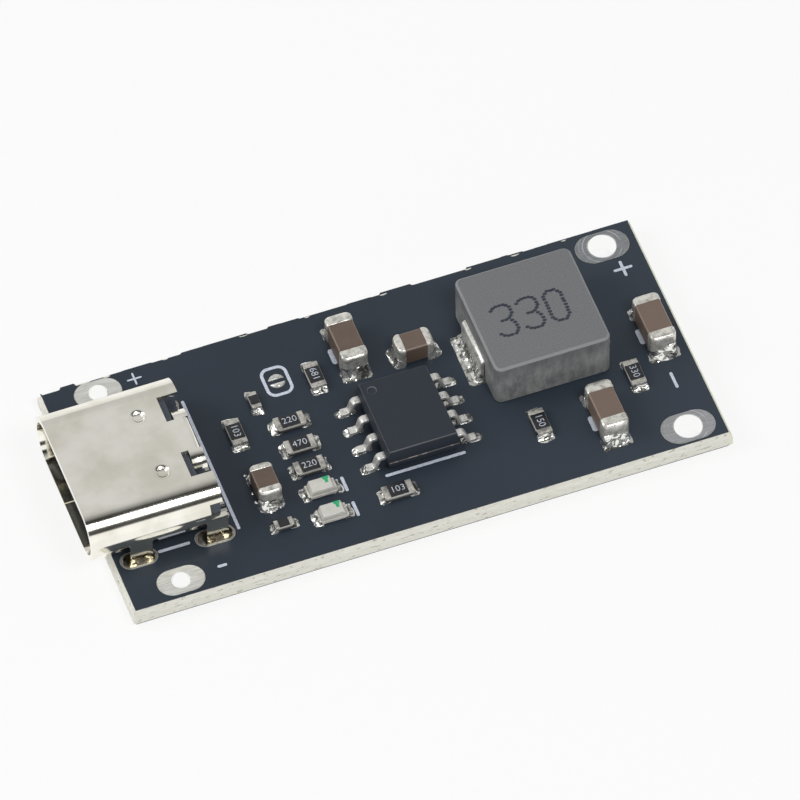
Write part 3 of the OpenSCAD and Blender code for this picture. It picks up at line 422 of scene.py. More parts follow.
# %% Chip resin
def chip_resin(name):
    """Charcoal resin: fine pits, a painted highlight on the rounded top rim, and a parting
    line with torn metal specks on the two short sides."""
    f = Finish(name)
    low, high = box_mm("charger_chip_body")
    normal = f.node("NewGeometry", output="Normal")
    short_side = f.step(f.math("ABSOLUTE", f.node("SeparateXYZ", {0: normal}, output="Y")), 0.5, 0.8)
    tilted = f.step(f.node("SeparateXYZ", {0: normal}, output="Z"), 0.97, 0.9)
    z = f.axis("Z")
    # Painted highlight: tilted faces near the top are made paler, for light on the rounded edge.
    painted_rim_highlight = f.step(z, high[2] - 0.09, high[2] - 0.05) * tilted
    seam_z = (low[2] + high[2]) / 2 - 0.1
    seam = f.step(f.math("ABSOLUTE", z - seam_z), 0.06, 0.03) * short_side
    torn = f.step(f.noise(1.0, detail=2, stretch=(3.6, 0.1, 0.1)), 0.56, 0.6)
    pits = f.noise(26, detail=3, rough=0.7)
    broad = f.noise(0.7, detail=2)
    tone = f.mix(f.step(pits, 0.35, 0.7), colour(22, 30, 42), colour(34, 43, 55))
    tone = f.mix(broad * 0.3, tone, colour(42, 50, 61))
    tone = f.mix(painted_rim_highlight * 0.5, tone, colour(130, 130, 132))
    tone = f.mix(seam * (0.3 + 0.5 * torn), tone, colour(196, 188, 180))
    return f.surface(Base_Color=tone, Roughness=0.5 + 0.15 * broad, Normal=f.bump(pits, 0.3, 0.008))


CHIP_RESIN = chip_resin("chip_resin")


# %% Pressed powder with a grey coat
def inductor_grey(name):
    """Even specks on top; streaks down the sides, chosen by the facing; a painted highlight on the rounded edges."""
    f = Finish(name)
    facing = f.node("SeparateXYZ", {0: f.node("NewGeometry", output="Normal")}, output="Z")
    side = 1.0 - f.step(facing, 0.25, 0.7)
    speck = f.noise(13, detail=3, rough=0.7)
    # Painted highlight: faces tilted between side and top are made paler, for light on the rounded edge.
    edge = f.step(facing, 0.3, 0.5) * f.step(facing, 0.97, 0.85)
    streak = f.noise(1.0, detail=5, rough=0.7, stretch=(2.6, 2.6, 0.7))
    blotch = f.noise(0.8, detail=4, rough=0.7)
    flat_tone = f.mix(f.step(speck, 0.3, 0.7), colour(108, 109, 112), colour(124, 125, 127))
    side_tone = f.mix(f.step(streak * 0.5 + blotch * 0.5, 0.3, 0.68), colour(96, 98, 101), colour(150, 151, 149))
    high = box_mm("inductor_core")[1][2]
    side_tone = f.mix(f.step(f.axis("Z") + blotch, high - 0.9, high + 0.6) * 0.6, side_tone, colour(84, 86, 90))
    tone = f.mix(side, flat_tone, side_tone)
    tone = f.mix(edge * 0.3, tone, colour(176, 177, 178))
    return f.surface(Base_Color=tone, Roughness=0.55 - 0.12 * side + 0.1 * speck,
                     Normal=f.bump(speck + streak * 0.5, 0.25, 0.012), Specular_IOR_Level=0.35)


def capacitor_brown(name):
    """Fired brown ceramic, satin, with darker clouds and a painted highlight on its rounded edges."""
    f = Finish(name)
    cloud = f.noise(1.6, detail=3)
    grain = f.noise(18, detail=2)
    tone = f.mix(cloud, colour(88, 74, 65), colour(106, 90, 79))
    # Painted light: the ceramic is made lighter towards +X, where the light on the board falls brighter.
    tone = f.mix(f.step(f.axis("X"), -2.0, 9.0) * 0.5, tone, colour(132, 113, 101))
    facing = f.node("SeparateXYZ", {0: f.node("NewGeometry", output="Normal")}, output="Z")
    # Painted highlight: faces tilted between side and top are made paler, for light on the rounded edge.
    edge = f.step(facing, 0.3, 0.5) * f.step(facing, 0.97, 0.85)
    tone = f.mix(edge * 0.4, tone, colour(170, 152, 138))
    return f.surface(Base_Color=tone, Roughness=0.38 + 0.15 * grain, Normal=f.bump(grain, 0.2, 0.005))


INDUCTOR_GREY = inductor_grey("inductor_grey")
BROWN = capacitor_brown("capacitor_brown")


# %% Alumina, black glaze and the lamps
def alumina(name):
    """White fired ceramic with a slight grain; painted shade darkens all but its upper edge."""
    f = Finish(name)
    high = box_mm("resistor_a_body")[1][2]
    grain = f.noise(16, detail=3)
    tone = f.mix(grain, colour(188, 187, 180), colour(222, 221, 214))
    # Painted shade: the side below the upper edge is darkened almost to black, for the shade that falls on it.
    foot = f.step(f.axis("Z") + 0.06 * grain, high - 0.06, high - 0.14)
    tone = f.mix(foot * 0.92, tone, colour(44, 45, 48))
    return f.surface(Base_Color=tone, Roughness=0.5 + 0.1 * grain, Normal=f.bump(grain, 0.2, 0.004))


def black_glaze(name):
    """Glassy overcoat with shallow waves."""
    f = Finish(name)
    wave = f.noise(3, detail=2)
    return f.surface(Base_Color=f.mix(wave, colour(26, 27, 30), colour(38, 39, 43)),
                     Roughness=0.3 + 0.1 * wave, Normal=f.bump(wave, 0.3, 0.01))


ALUMINA = alumina("alumina")
GLAZE = black_glaze("black_glaze")


def lamp_resin(name, deep, pale):
    """Milky resin with a soft clouding; sits between two shades."""
    f = Finish(name)
    cloud = f.noise(2.4, detail=3)
    return f.surface(Base_Color=f.mix(cloud, colour(*deep), colour(*pale)), Roughness=0.32 + 0.15 * cloud,
                     Normal=f.bump(cloud, 0.25, 0.02), Coat_Weight=0.3, Coat_Roughness=0.1)


LAMP_BASE = lamp_resin("lamp_base", (206, 203, 197), (228, 226, 221))
LAMP_LENS = lamp_resin("lamp_lens", (192, 190, 181), (220, 219, 213))
print("finishes:", len(bpy.data.materials))


# %% [markdown]
# ## Giving each solid its finish
#
# A solid that is already right keeps its exact mesh and only changes its
# finish. A record slot groups nodes of one material; a few nodes want their
# own variant, so the table below is by node.

# %% Node by node
def wear(node, material):
    """Puts one finish on every slot of a node's mesh."""
    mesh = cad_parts[node].data
    mesh.materials.clear()
    mesh.materials.append(material)


FINISH_OF = {
    "laminate_core": LAMINATE, "solder_mask_top": MASK, "solder_mask_bottom": MASK, "printed_lines": INK,
    "battery_plus_terminal": BATTERY_PLUS_TIN, "battery_minus_terminal": BATTERY_MINUS_TIN,
    "input_plus_terminal": INPUT_TIN, "input_minus_terminal": INPUT_TIN,
    "leg_slot_plating": RING_TIN, "component_pads": POOL_SOLDER,
    "connector_shell": NICKEL, "connector_moulding": MOULDING, "connector_tongue": MOULDING,
    "connector_mid_plate": NICKEL, "connector_upper_contacts": GOLD, "connector_lower_contacts": GOLD,
    "connector_leg_solder": LEG_SOLDER, "charger_chip_body": CHIP_RESIN, "charger_chip_leads": LEAD_TIN,
    "charger_chip_heat_pad": LEAD_TIN, "inductor_core": INDUCTOR_GREY, "inductor_terminals": LEAD_TIN,
    "resistor_overcoats": GLAZE, "tiny_resistor_overcoats": GLAZE,
    "resistor_ends": CHIP_END_TIN, "tiny_resistor_ends": CHIP_END_TIN, "lamp_ends": CAP_TIN,
    "charge_lamp_base": LAMP_BASE, "full_lamp_base": LAMP_BASE,
    "charge_lamp_lens": LAMP_LENS, "full_lamp_lens": LAMP_LENS, "solder_fillets": SOLDER,
}
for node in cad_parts:
    if "capacitor" in node:
        FINISH_OF[node] = BROWN if node.endswith("_body") else CAP_TIN
    elif "resistor" in node and node.endswith("_body"):
        FINISH_OF[node] = ALUMINA
for node, material in FINISH_OF.items():
    wear(node, material)
print("nodes without a finish:", sorted(set(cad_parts) - set(FINISH_OF)))


# %% [markdown]
# ## From arrays to pieces
#
# Everything that the solids leave plain is worked out as arrays of points and
# then handed to Blender in one go. A grid of points needs only its four-point
# faces; a flat print needs its outline twice, once for each side.

# %% Faces of a grid, flat prints and joining
def grid_faces(rows, columns, ring=False):
    """Quads that join each point (i, j) with its neighbours; ring closes the columns."""
    i, j = np.meshgrid(np.arange(rows - 1), np.arange(columns if ring else columns - 1), indexing="ij")
    k = (j + 1) % columns
    quads = np.stack([i * columns + j, (i + 1) * columns + j, (i + 1) * columns + k, i * columns + k], -1)
    return quads.reshape(-1, 4).tolist()


def prism(outline, low, thick):
    """A flat outline (x, y) as a plate: the outline at two heights, two caps and a wall."""
    outline = np.asarray(outline, float)
    n = len(outline)
    points = np.vstack([np.column_stack([outline, np.full(n, z)]) for z in (low, low + thick)])
    ring = np.arange(n)
    after = np.roll(ring, -1)
    wall = np.column_stack([ring, after, after + n, ring + n]).tolist()
    return points, wall + [(ring + n).tolist(), ring[::-1].tolist()]


def joined(parts):
    """Puts several (points, faces) pairs into one pair, counting the faces on."""
    points, faces, first = [], [], 0
    for some_points, some_faces in parts:
        points.append(some_points)
        faces += [[first + k for k in face] for face in some_faces]
        first += len(some_points)
    return np.vstack(points), faces


def carried(shape, place, turn):
    """Turns a shape about Z and moves it to its place."""
    points, faces = shape
    c, s = math.cos(turn), math.sin(turn)
    return points @ np.array([[c, s, 0], [-s, c, 0], [0, 0, 1]]) + np.asarray(place), faces


# %% [markdown]
# A piece is a mesh with its place already in its points, so its object stays
# at the origin. It rides on the board's body and takes the finish it is given.
# A closed shell has its faces turned outwards once.


def finish_mesh(mesh, crease):
    """Merges doubles, turns faces outward, and shades smooth except at creases."""
    work = bmesh.new()
    work.from_mesh(mesh)
    bmesh.ops.remove_doubles(work, verts=work.verts, dist=1e-7)
    bmesh.ops.recalc_face_normals(work, faces=work.faces)
    work.to_mesh(mesh)
    work.free()
    mesh.shade_smooth()
    mesh.set_sharp_from_angle(angle=math.radians(crease))


def piece(name, shape, material, nodes=(), crease=35):
    """Makes an object from points in millimetres and faces."""
    points, faces = shape
    mesh = bpy.data.meshes.new(name)
    mesh.from_pydata((np.asarray(points) * MM).tolist(), [], faces)
    finish_mesh(mesh, crease)
    mesh.materials.append(material)
    made = bpy.data.objects.new(name, mesh)
    bpy.context.scene.collection.objects.link(made)
    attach(made, "root")
    if nodes:
        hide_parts(*nodes)
    print(name, "points:", len(points))
    return made


# %% [markdown]
# ## Small roundings
#
# No cut edge of sheet, resin or ceramic is a knife edge: each shows a thin
# line of light. The solid's mesh is copied, its triangles are joined back
# into flat faces, and a Bevel modifier rounds what is left, by a few
# hundredths of a millimetre.

# %% A solid's copy with rounded edges
def softened(node, width_mm, steps=2, angle=30, finish=None):
    """A merged copy of the node's mesh with a Bevel modifier on its sharp edges."""
    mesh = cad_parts[node].data.copy()
    mesh.name = node + "_edges"
    work = bmesh.new()
    work.from_mesh(mesh)
    bmesh.ops.remove_doubles(work, verts=work.verts, dist=1e-6)
    bmesh.ops.dissolve_limit(work, angle_limit=math.radians(0.6), verts=work.verts, edges=work.edges)
    work.to_mesh(mesh)
    work.free()
    mesh.shade_smooth()
    mesh.materials.clear()
    mesh.materials.append(finish or FINISH_OF[node])
    made = bpy.data.objects.new(node + "_rounded", mesh)
    bpy.context.scene.collection.objects.link(made)
    bevel = made.modifiers.new("edge", "BEVEL")
    bevel.width = width_mm * MM
    bevel.segments = steps
    bevel.limit_method = "ANGLE"
    bevel.angle_limit = math.radians(angle)
    weigh = made.modifiers.new("normals", "WEIGHTED_NORMAL")
    weigh.keep_sharp = True
    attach(made, "root")
    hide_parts(node)
    return made


ROUNDING = {
    "connector_shell": 0.03, "connector_moulding": 0.02, "connector_tongue": 0.03,
    "charger_chip_body": 0.03, "charger_chip_leads": 0.03, "inductor_core": 0.04, "inductor_terminals": 0.03,
    "resistor_ends": 0.025, "tiny_resistor_ends": 0.02, "lamp_ends": 0.02, "resistor_overcoats": 0.02,
    "charge_lamp_lens": 0.04, "full_lamp_lens": 0.04, "charge_lamp_base": 0.02, "full_lamp_base": 0.02,
}
for node, width in ROUNDING.items():
    softened(node, width)
print("rounded nodes:", len(ROUNDING))


# %% [markdown]
# ## Solder
#
# Solder wets a terminal on three sides and runs out over the pad in a hollow
# curve. A joint is therefore one profile carried along a U round the end of
# the part: hollow where there was little solder, swollen where there was
# more. A few waves with fixed random phases make each joint its own.

# %% Where the two-ended parts lie
def lies(node, grow=0.0):
    """Middle, half length, half width, height over the board and turn of a part."""
    low, high = box_mm(node)
    span = high - low
    turned = span[1] > span[0]
    half_l, half_w = (span[1] / 2, span[0] / 2) if turned else (span[0] / 2, span[1] / 2)
    return (low + high)[:2] / 2, half_l + grow, half_w, high[2] - BOARD_TOP, math.pi / 2 if turned else 0.0


# %% [markdown]
# A capacitor is tumbled before it is fired, so its ceramic has round edges,
# and its ends are dipped in a metal paste that dries round and a little lumpy.
# Both are one shape: a rounded section carried along the part and drawn in
# towards its end as a quarter circle.

# %% A rounded section and a bar of such sections
CORNER_POINTS, EDGE_POINTS = 6, 3


def section_signs():
    """For each point of a rounded rectangle: its corner's place, from -1 to 1 in both
    directions, and its heading on the corner's circle."""
    places, headings = [], []
    corners = np.array([(1, 1), (-1, 1), (-1, -1), (1, -1)], float)
    for quarter in range(4):
        a = quarter * np.pi / 2 + np.linspace(0, np.pi / 2, CORNER_POINTS)
        share = np.linspace(0, 1, EDGE_POINTS + 2)[1:-1, None]
        edge = corners[quarter] * (1 - share) + corners[(quarter + 1) % 4] * share
        places += [np.tile(corners[quarter], (CORNER_POINTS, 1)), edge]
        headings += [a, np.full(EDGE_POINTS, a[-1])]
    return np.vstack(places), np.concatenate(headings)


SECTION_PLACE, SECTION_HEADING = section_signs()


def lumps(u, chance, count=6):
    """A mean of waves along and round a bar, each with a random pitch and phase."""
    round_it = chance.integers(1, 5, (count, 1, 1))
    along_it = chance.uniform(-9, 9, (count, 1, 1))
    phase = chance.uniform(0, 2 * np.pi, (count, 1, 1))
    return np.cos(round_it * SECTION_HEADING[None, None] + along_it * u[None, :, None] + phase).mean(axis=0)


def rounded_bar(u, draw, half_w, high, corner, swell, chance):
    """Sections along u. Draw holds how far each is drawn in at the sides and at the top."""
    draw = np.asarray(draw)
    half_h = high / 2
    radius = np.minimum(corner, np.minimum(half_w - draw[:, 0], half_h - draw[:, 1]) - 0.01)[:, None]
    grown = radius + swell * lumps(u, chance)
    v = SECTION_PLACE[None, :, 0] * (half_w - draw[:, :1] - radius) + grown * np.cos(SECTION_HEADING)
    w = SECTION_PLACE[None, :, 1] * (half_h - draw[:, 1:] - radius) + grown * np.sin(SECTION_HEADING)
    points = np.stack([np.broadcast_to(u[:, None], v.shape), v, w + half_h], -1).reshape(-1, 3)
    rows, columns = len(u), len(SECTION_HEADING)
    ends = [list(range(columns)), list(range(rows * columns - 1, (rows - 1) * columns - 1, -1))]
    return points, grid_faces(rows, columns, ring=True) + ends


# %% Ceramic and dipped ends of each capacitor
DIP_PROUD, DIP_CORNER = 0.035, 0.16
END_DRAW, END_REACH = (0.3, 0.17), 0.3
bands = {"output_capacitor_a": 0.64, "output_capacitor_b": 0.58, "input_capacitor": 0.64,
         "boost_capacitor": 0.42, "filter_capacitor": 0.42}
tumble = np.random.default_rng(4)
for part, band in bands.items():
    where, half_l, half_w, high, turn = lies(part + "_caps")
    place = (*where, BOARD_TOP + 0.005)
    u = np.linspace(-half_l + 0.2, half_l - 0.2, 9)
    ceramic = rounded_bar(u, np.full((len(u), 2), DIP_PROUD), half_w, high, 0.12, 0.004, tumble)
    piece(part + "_ceramic", carried(ceramic, place, -turn), BROWN, [part + "_body"], 50)
    a = np.linspace(0, np.pi / 2, 8)
    lip = np.array([0.0, 0.012, 0.05])
    level = np.linspace(half_l - band + 0.1, half_l - END_REACH, 4)[:-1]
    u = np.concatenate([half_l - band + lip, level, half_l - END_REACH + END_REACH * np.sin(a)])
    inset = np.array([1.25 * DIP_PROUD, 0.35 * DIP_PROUD, 0.0])
    drawn = np.concatenate([inset, np.zeros(len(level)), 1 - np.cos(a)])
    scale = np.where(np.arange(len(u)) < len(lip), 1.0, 0.0)[:, None]
    draw = drawn[:, None] * (scale + (1 - scale) * np.array(END_DRAW))
    dips = []
    for end in (-1, 1):
        points, faces = rounded_bar(u, draw, half_w, high, DIP_CORNER, 0.02, tumble)
        dips.append((points * (end, 1, 1), faces))
    piece(part + "_dips", carried(joined(dips), place, -turn), CAP_TIN, [part + "_caps"], 50)


# %% The path and the profile of a joint
SIDE_STEPS, CORNER_STEPS, FACE_STEPS, RISE_STEPS = 7, 5, 13, 8


def joint_path(reach, half_w, back, corner):
    """A U with round corners about an end: wall points (u, v) and the outward heading."""
    side = np.linspace(-back, 0, SIDE_STEPS) - corner
    face = np.linspace(-1, 1, FACE_STEPS) * (half_w - corner)
    turn = np.radians(np.linspace(-90, 0, CORNER_STEPS + 2)[1:-1])
    bend = corner * (np.cos(turn) - 1)
    u = reach + np.concatenate([side, bend, np.zeros(FACE_STEPS), bend[::-1], side[::-1]])
    flank = np.concatenate([np.full(SIDE_STEPS, -half_w), corner - half_w + corner * np.sin(turn)])
    v = np.concatenate([flank, face, -flank[::-1]])
    heading = np.concatenate([np.full(SIDE_STEPS, -np.pi / 2), turn, np.zeros(FACE_STEPS)])
    return u, v, np.concatenate([heading, -turn[::-1], np.full(SIDE_STEPS, np.pi / 2)])


def waves(along, chance, count=4):
    """A sum of cosines with random phases, each weaker than the last."""
    k = np.arange(1, count + 1)[:, None]
    phase = chance.uniform(0, 2 * np.pi, (count, 1))
    return (np.cos(2 * np.pi * k * along + phase) / k).sum(axis=0)


def joint(middle_xy, turn, end, reach, half_w, back, foot, rise, chance, swell=0.25, corner=0.02):
    """Solder round one end. Across: out = (1 - m)(1 - sin a) + m cos a times the foot,
    up = (1 - m)(1 - cos a) + m sin a times the rise, where m says how swollen it is."""
    u, v, heading = joint_path(reach, half_w, back, corner)
    along = np.linspace(0, 1, len(u))
    weight = 0.12 + 0.88 * np.sin(np.pi * along) ** 0.55
    spread = weight * (1 + 0.16 * waves(along, chance))
    climb = weight * (1 + 0.14 * waves(along, chance))
    full = np.clip(swell + 0.3 * waves(along, chance), 0, 0.85)[:, None]
    a = np.linspace(0, np.pi / 2, RISE_STEPS)[None, :]
    out = (1 - full) * (1 - np.sin(a)) + full * np.cos(a)
    up = (1 - full) * (1 - np.cos(a)) + full * np.sin(a)
    out_u = foot[0] * np.cos(heading) * spread
    out_v = foot[1] * np.sin(heading) * spread
    pu = u[:, None] + out * out_u[:, None]
    pv = v[:, None] + out * out_v[:, None]
    pz = up * (rise * climb)[:, None]
    inside = 0.02
    back_u = (u - inside * np.cos(heading))[:, None]
    back_v = (v - inside * np.sin(heading))[:, None]
    pu = np.hstack([pu, back_u, back_u])
    pv = np.hstack([pv, back_v, back_v])
    pz = np.hstack([pz, pz[:, -1:], np.zeros((len(u), 1))])
    columns = RISE_STEPS + 2
    pu = end * pu
    x = middle_xy[0] + pu * math.cos(turn) - pv * math.sin(turn)
    y = middle_xy[1] + pu * math.sin(turn) + pv * math.cos(turn)
    points = np.stack([x, y, BOARD_TOP + pz], -1).reshape(-1, 3)
    rows = len(u)
    caps = [list(range(columns)), list(range(rows * columns - 1, (rows - 1) * columns - 1, -1))]
    return points, grid_faces(rows, columns, ring=True) + caps


# %% Every joint of the board
METAL = 0.04
chance = np.random.default_rng(11)
joints = []
for node in sorted(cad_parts):
    if node.endswith("capacitor_caps") or node.endswith("_a_caps") or node.endswith("_b_caps"):
        where, half_l, half_w, high, turn = lies(node)
        foot, rise, back, corner = (0.36, 0.12), 0.45 * high, 0.2, 0.24
    elif node.startswith("resistor") and node.endswith("_body"):
        where, half_l, half_w, high, turn = lies(node, METAL)
        foot, rise, back, corner = (0.29, 0.08), 0.75 * high, 0.22, 0.02
    elif node.startswith("tiny") and node.endswith("_body"):
        where, half_l, half_w, high, turn = lies(node, METAL)
        foot, rise, back, corner = (0.28, 0.08), 0.7 * high, 0.16, 0.02
    elif node.endswith("lamp_base"):
        where, half_l, half_w, high, turn = lies(node, METAL)
        foot, rise, back, corner = (0.29, 0.08), 0.8 * high, 0.2, 0.02
    else:
        continue
    for end in (-1, 1):
        joints.append(joint(where, turn, end, half_l, half_w, back, foot, rise, chance, corner=corner))

LEAD_PITCH, LEAD_HALF = 1.27, 0.21
chip_low, chip_high = box_mm("charger_chip_leads")
chip_mid = (chip_low + chip_high)[:2] / 2
for end in (-1, 1):
    for row in (-1.5, -0.5, 0.5, 1.5):
        place = (chip_mid[0], chip_mid[1] + row * LEAD_PITCH)
        reach = (chip_high[0] - chip_low[0]) / 2
        joints.append(joint(place, 0, end, reach, LEAD_HALF, 0.42, (0.27, 0.08), 0.17, chance, swell=0.5))

strap_low, strap_high = box_mm("inductor_terminals")
strap_mid = (strap_low + strap_high)[:2] / 2
for end, run in ((-1, 0.62), (1, 0.36)):
    reach = (strap_high[0] - strap_low[0]) / 2
    half_w = (strap_high[1] - strap_low[1]) / 2
    joints.append(joint(strap_mid, 0, end, reach, half_w, 0.2, (run, 0.16), 0.6, chance))
piece("solder_joints", joined(joints), SOLDER, ["solder_fillets"], crease=60)


# %% [markdown]
# Solder wets every pad up to its edge, so a pad shows as a shallow pool with
# an uneven shore. The pads' own mesh gives their places: each separate shell
# in it has a box, and the shells are told apart by passing the lowest point
# number on to all neighbours until nothing changes.

# %% Boxes of the separate pads
def shells(node):
    """Lowest and highest corner of each separate shell of a node, in millimetres."""
    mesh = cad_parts[node].data
    points = np.empty(len(mesh.vertices) * 3)
    mesh.vertices.foreach_get("co", points)
    ends = np.empty(len(mesh.edges) * 2, np.int64)
    mesh.edges.foreach_get("vertices", ends)
    spots, which = np.unique((points.reshape(-1, 3) / MM).round(4), axis=0, return_inverse=True)
    ends = which.ravel()[ends].reshape(-1, 2)
    label, before = np.arange(len(spots)), None
    while before is None or (before != label).any():
        before = label.copy()
        lowest = np.minimum(before[ends[:, 0]], before[ends[:, 1]])
        np.minimum.at(label, ends[:, 0], lowest)
        np.minimum.at(label, ends[:, 1], lowest)
    return [(spots[label == k].min(axis=0), spots[label == k].max(axis=0)) for k in np.unique(label)]


def shore(centre, half, ripple, chance, waist=0.0):
    """A rounded rectangle whose edge wanders in and out; a waist draws in its middle."""
    corner = min(0.16, 0.6 * min(half))
    heading = np.column_stack([np.cos(SECTION_HEADING), np.sin(SECTION_HEADING)])
    outline = SECTION_PLACE * (np.asarray(half) - corner) + corner * heading
    outline[:, 1] *= 1 - waist * np.exp(-(outline[:, 0] / (0.35 * half[0])) ** 2)
    wander = ripple * waves(np.linspace(0, 2, len(outline)), chance, 6)
    return outline + heading * wander[:, None] + np.asarray(centre)


def dome(outline, height, rings=5):
    """A low dome over a flat outline: each ring shrinks by r while the height grows as 1 - r squared."""
    outline = np.asarray(outline, float)
    centre = outline.mean(axis=0)
    r = np.linspace(1, 0.08, rings)[:, None, None]
    flat = centre + (outline - centre)[None] * r
    z = np.broadcast_to(BOARD_TOP + height * (1 - r[..., 0] ** 2) ** 0.7, flat.shape[:2])
    n = len(outline)
    base = np.column_stack([outline, np.full(n, BOARD_TOP - 0.01)])
    points = np.vstack([base, np.dstack([flat, z[..., None]]).reshape(-1, 3)])
    last = list(range(rings * n, (rings + 1) * n))
    return points, grid_faces(rings + 1, n, ring=True) + [last, list(range(n))[::-1]]


# %% A pool of solder on every pad, and the mask that creeps over the pad's rim
JUMPER_MIDDLE, JUMPER_R, JUMPER_SPLIT = np.array((-4.49, 3.93)), 0.45, 0.22
CORNERS = np.array([(-1, -1), (1, -1), (1, 1), (-1, 1)])
CREEP_LOW = 0.001
pools, rims = [], []
for low, high in shells("component_pads"):
    centre, half = (low + high)[:2] / 2, (high - low)[:2] / 2
    rims.append(prism(centre + CORNERS * (half + 0.04), BOARD_TOP - 0.015, 0.015 - CREEP_LOW))
    if np.linalg.norm(centre - JUMPER_MIDDLE) < JUMPER_R:
        continue
    at_lead = chip_low[1] - 0.1 < centre[1] < chip_high[1] + 0.1 and 1.5 < abs(centre[0] - chip_mid[0]) < 3.5
    if at_lead:
        pools.append(dome(shore(centre, half * (0.97, 0.68), 0.01, chance, 0.35), 0.03))
    elif min(half) < 0.2:
        pools.append(dome(shore(centre, half, 0.0, chance), 0.015))
    else:
        pools.append(dome(shore(centre, half - 0.05, 0.035, chance), 0.06))
flat_at = math.asin(JUMPER_SPLIT / 2 / JUMPER_R)
halves = []
for half_turn in (0, np.pi):
    arc = half_turn + np.linspace(flat_at, np.pi - flat_at, 17)
    halves.append(dome(JUMPER_MIDDLE + JUMPER_R * np.column_stack([np.cos(arc), np.sin(arc)]), 0.12, 6))
piece("solder_pools", joined(pools), POOL_SOLDER, ["component_pads"], crease=60)
piece("jumper_solder", joined(halves), LEAD_TIN, crease=60)
piece("mask_creep", joined(rims), MASK)


# %% [markdown]
# ## Printed signs and marks
#
# The signs at the wire pads are strokes of ink with round ends. The plus is
# one outline: four arms, each an inner corner and a half circle.

# %% Plus and minus at the wire pads
INK_HIGH = 0.015
SIGN_WIDTH = 0.16


def half_circle(centre, heading, radius, count=7):
    """Points from a quarter turn right of the heading to a quarter turn left."""
    a = heading + np.linspace(-np.pi / 2, np.pi / 2, count)
    return np.column_stack([centre[0] + radius * np.cos(a), centre[1] + radius * np.sin(a)])


def bar(a, b, width):
    """A stroke from a to b with round ends."""
    a, b = np.asarray(a, float), np.asarray(b, float)
    heading = math.atan2(*(b - a)[::-1])
    return np.vstack([half_circle(b, heading, width / 2), half_circle(a, heading + np.pi, width / 2)])


def plus(centre, arm, width=SIGN_WIDTH):
    """Four arms round a centre, each with a round end."""
    points = []
    for quarter in range(4):
        heading = quarter * np.pi / 2
        ahead = np.array((math.cos(heading), math.sin(heading)))
        left = np.array((-ahead[1], ahead[0]))
        points.append([np.array(centre) + (ahead - left) * width / 2])
        points.append(half_circle(np.array(centre) + ahead * (arm - width / 2), heading, width / 2))
    return np.vstack(points)


PLUS_SIGNS = [((14.85, 4.5), 0.52, SIGN_WIDTH), ((-11.32, 6.66), 0.4, 0.1)]
MINUS_SIGNS = [((14.73, -3.22), (0, 0.45)), ((-11.09, -6.2), (0.18, 0))]
outlines = [plus(*sign) for sign in PLUS_SIGNS]
outlines += [bar(np.subtract(centre, arm), np.add(centre, arm), SIGN_WIDTH) for centre, arm in MINUS_SIGNS]
prints = [prism(outline, BOARD_TOP, INK_HIGH) for outline in outlines]
piece("terminal_signs", joined(prints), INK)


# %% [markdown]
# The resistors carry three plain digits in pale ink. A text object gives the
# outlines; it is made a mesh at the origin and only then carried to its
# resistor, so the object itself never moves.

# %% Digits on the resistors
DIGIT_SIZE, DIGIT_HIGH = 0.54, 0.006


def words(text, size, thick):
    """Points and faces of a short text, centred on the origin, in millimetres."""
    curve = bpy.data.curves.new("digits", "FONT")
    curve.body = text
    curve.size = 1.0
    curve.resolution_u = 3
    curve.extrude = 0.5
    curve.offset = -0.012
    curve.align_x = "CENTER"
    curve.align_y = "CENTER"
    holder = bpy.data.objects.new("digits", curve)
    bpy.context.scene.collection.objects.link(holder)
    seen = holder.evaluated_get(bpy.context.evaluated_depsgraph_get())
    mesh = bpy.data.meshes.new_from_object(seen)
    points = np.empty(len(mesh.vertices) * 3)
    mesh.vertices.foreach_get("co", points)
    faces = [list(face.vertices) for face in mesh.polygons]
    bpy.data.objects.remove(holder)
    bpy.data.curves.remove(curve)
    bpy.data.meshes.remove(mesh)
    return points.reshape(-1, 3) * (size, size, thick), faces


VALUES = {"a": "103", "b": "220", "c": "470", "d": "220", "e": "681", "f": "103", "g": "150", "h": "330"}
glaze_top = box_mm("resistor_overcoats")[1][2]
digits = []
for letter, value in VALUES.items():
    where, half_l, half_w, high, turn = lies(f"resistor_{letter}_body")
    digits.append(carried(words(value, DIGIT_SIZE, DIGIT_HIGH), (*where, glaze_top + DIGIT_HIGH / 2), -turn))
piece("resistor_digits", joined(digits), INK)


# %% [markdown]
# The inductor is marked by a needle printer: the pen lifts and pecks along each
# stroke, so a digit is a chain of small dark dots at an even step.

# %% Dots on the inductor
STROKES = {"3": [[(-0.48, 0.8), (-0.25, 1.0), (0.3, 1.0), (0.5, 0.75), (0.5, 0.3), (0.2, 0.02), (-0.12, 0.02)],
                 [(0.36, -0.12), (0.5, -0.35), (0.5, -0.75), (0.3, -1.0), (-0.25, -1.0), (-0.48, -0.8)]],
           "0": [[(0.2, 1.0), (0.46, 0.75), (0.46, -0.75), (0.2, -1.0), (-0.2, -1.0), (-0.46, -0.75), (-0.46, 0.75),
                  (-0.2, 1.0), (0.04, 1.0)]]}
DOT_R, DOT_STEP, DIGIT_STEP = 0.1, 0.2, 1.42
MARK_MIDDLE = (8.6, 1.48)


def pecks(stroke):
    """Points at an even step along a stroke, found by its running length."""
    stroke = np.asarray(stroke, float)
    run = np.concatenate([[0.0], np.cumsum(np.linalg.norm(np.diff(stroke, axis=0), axis=1))])
    at = np.linspace(0, run[-1], int(round(run[-1] / DOT_STEP)) + 1)
    return np.column_stack([np.interp(at, run, stroke[:, 0]), np.interp(at, run, stroke[:, 1])])


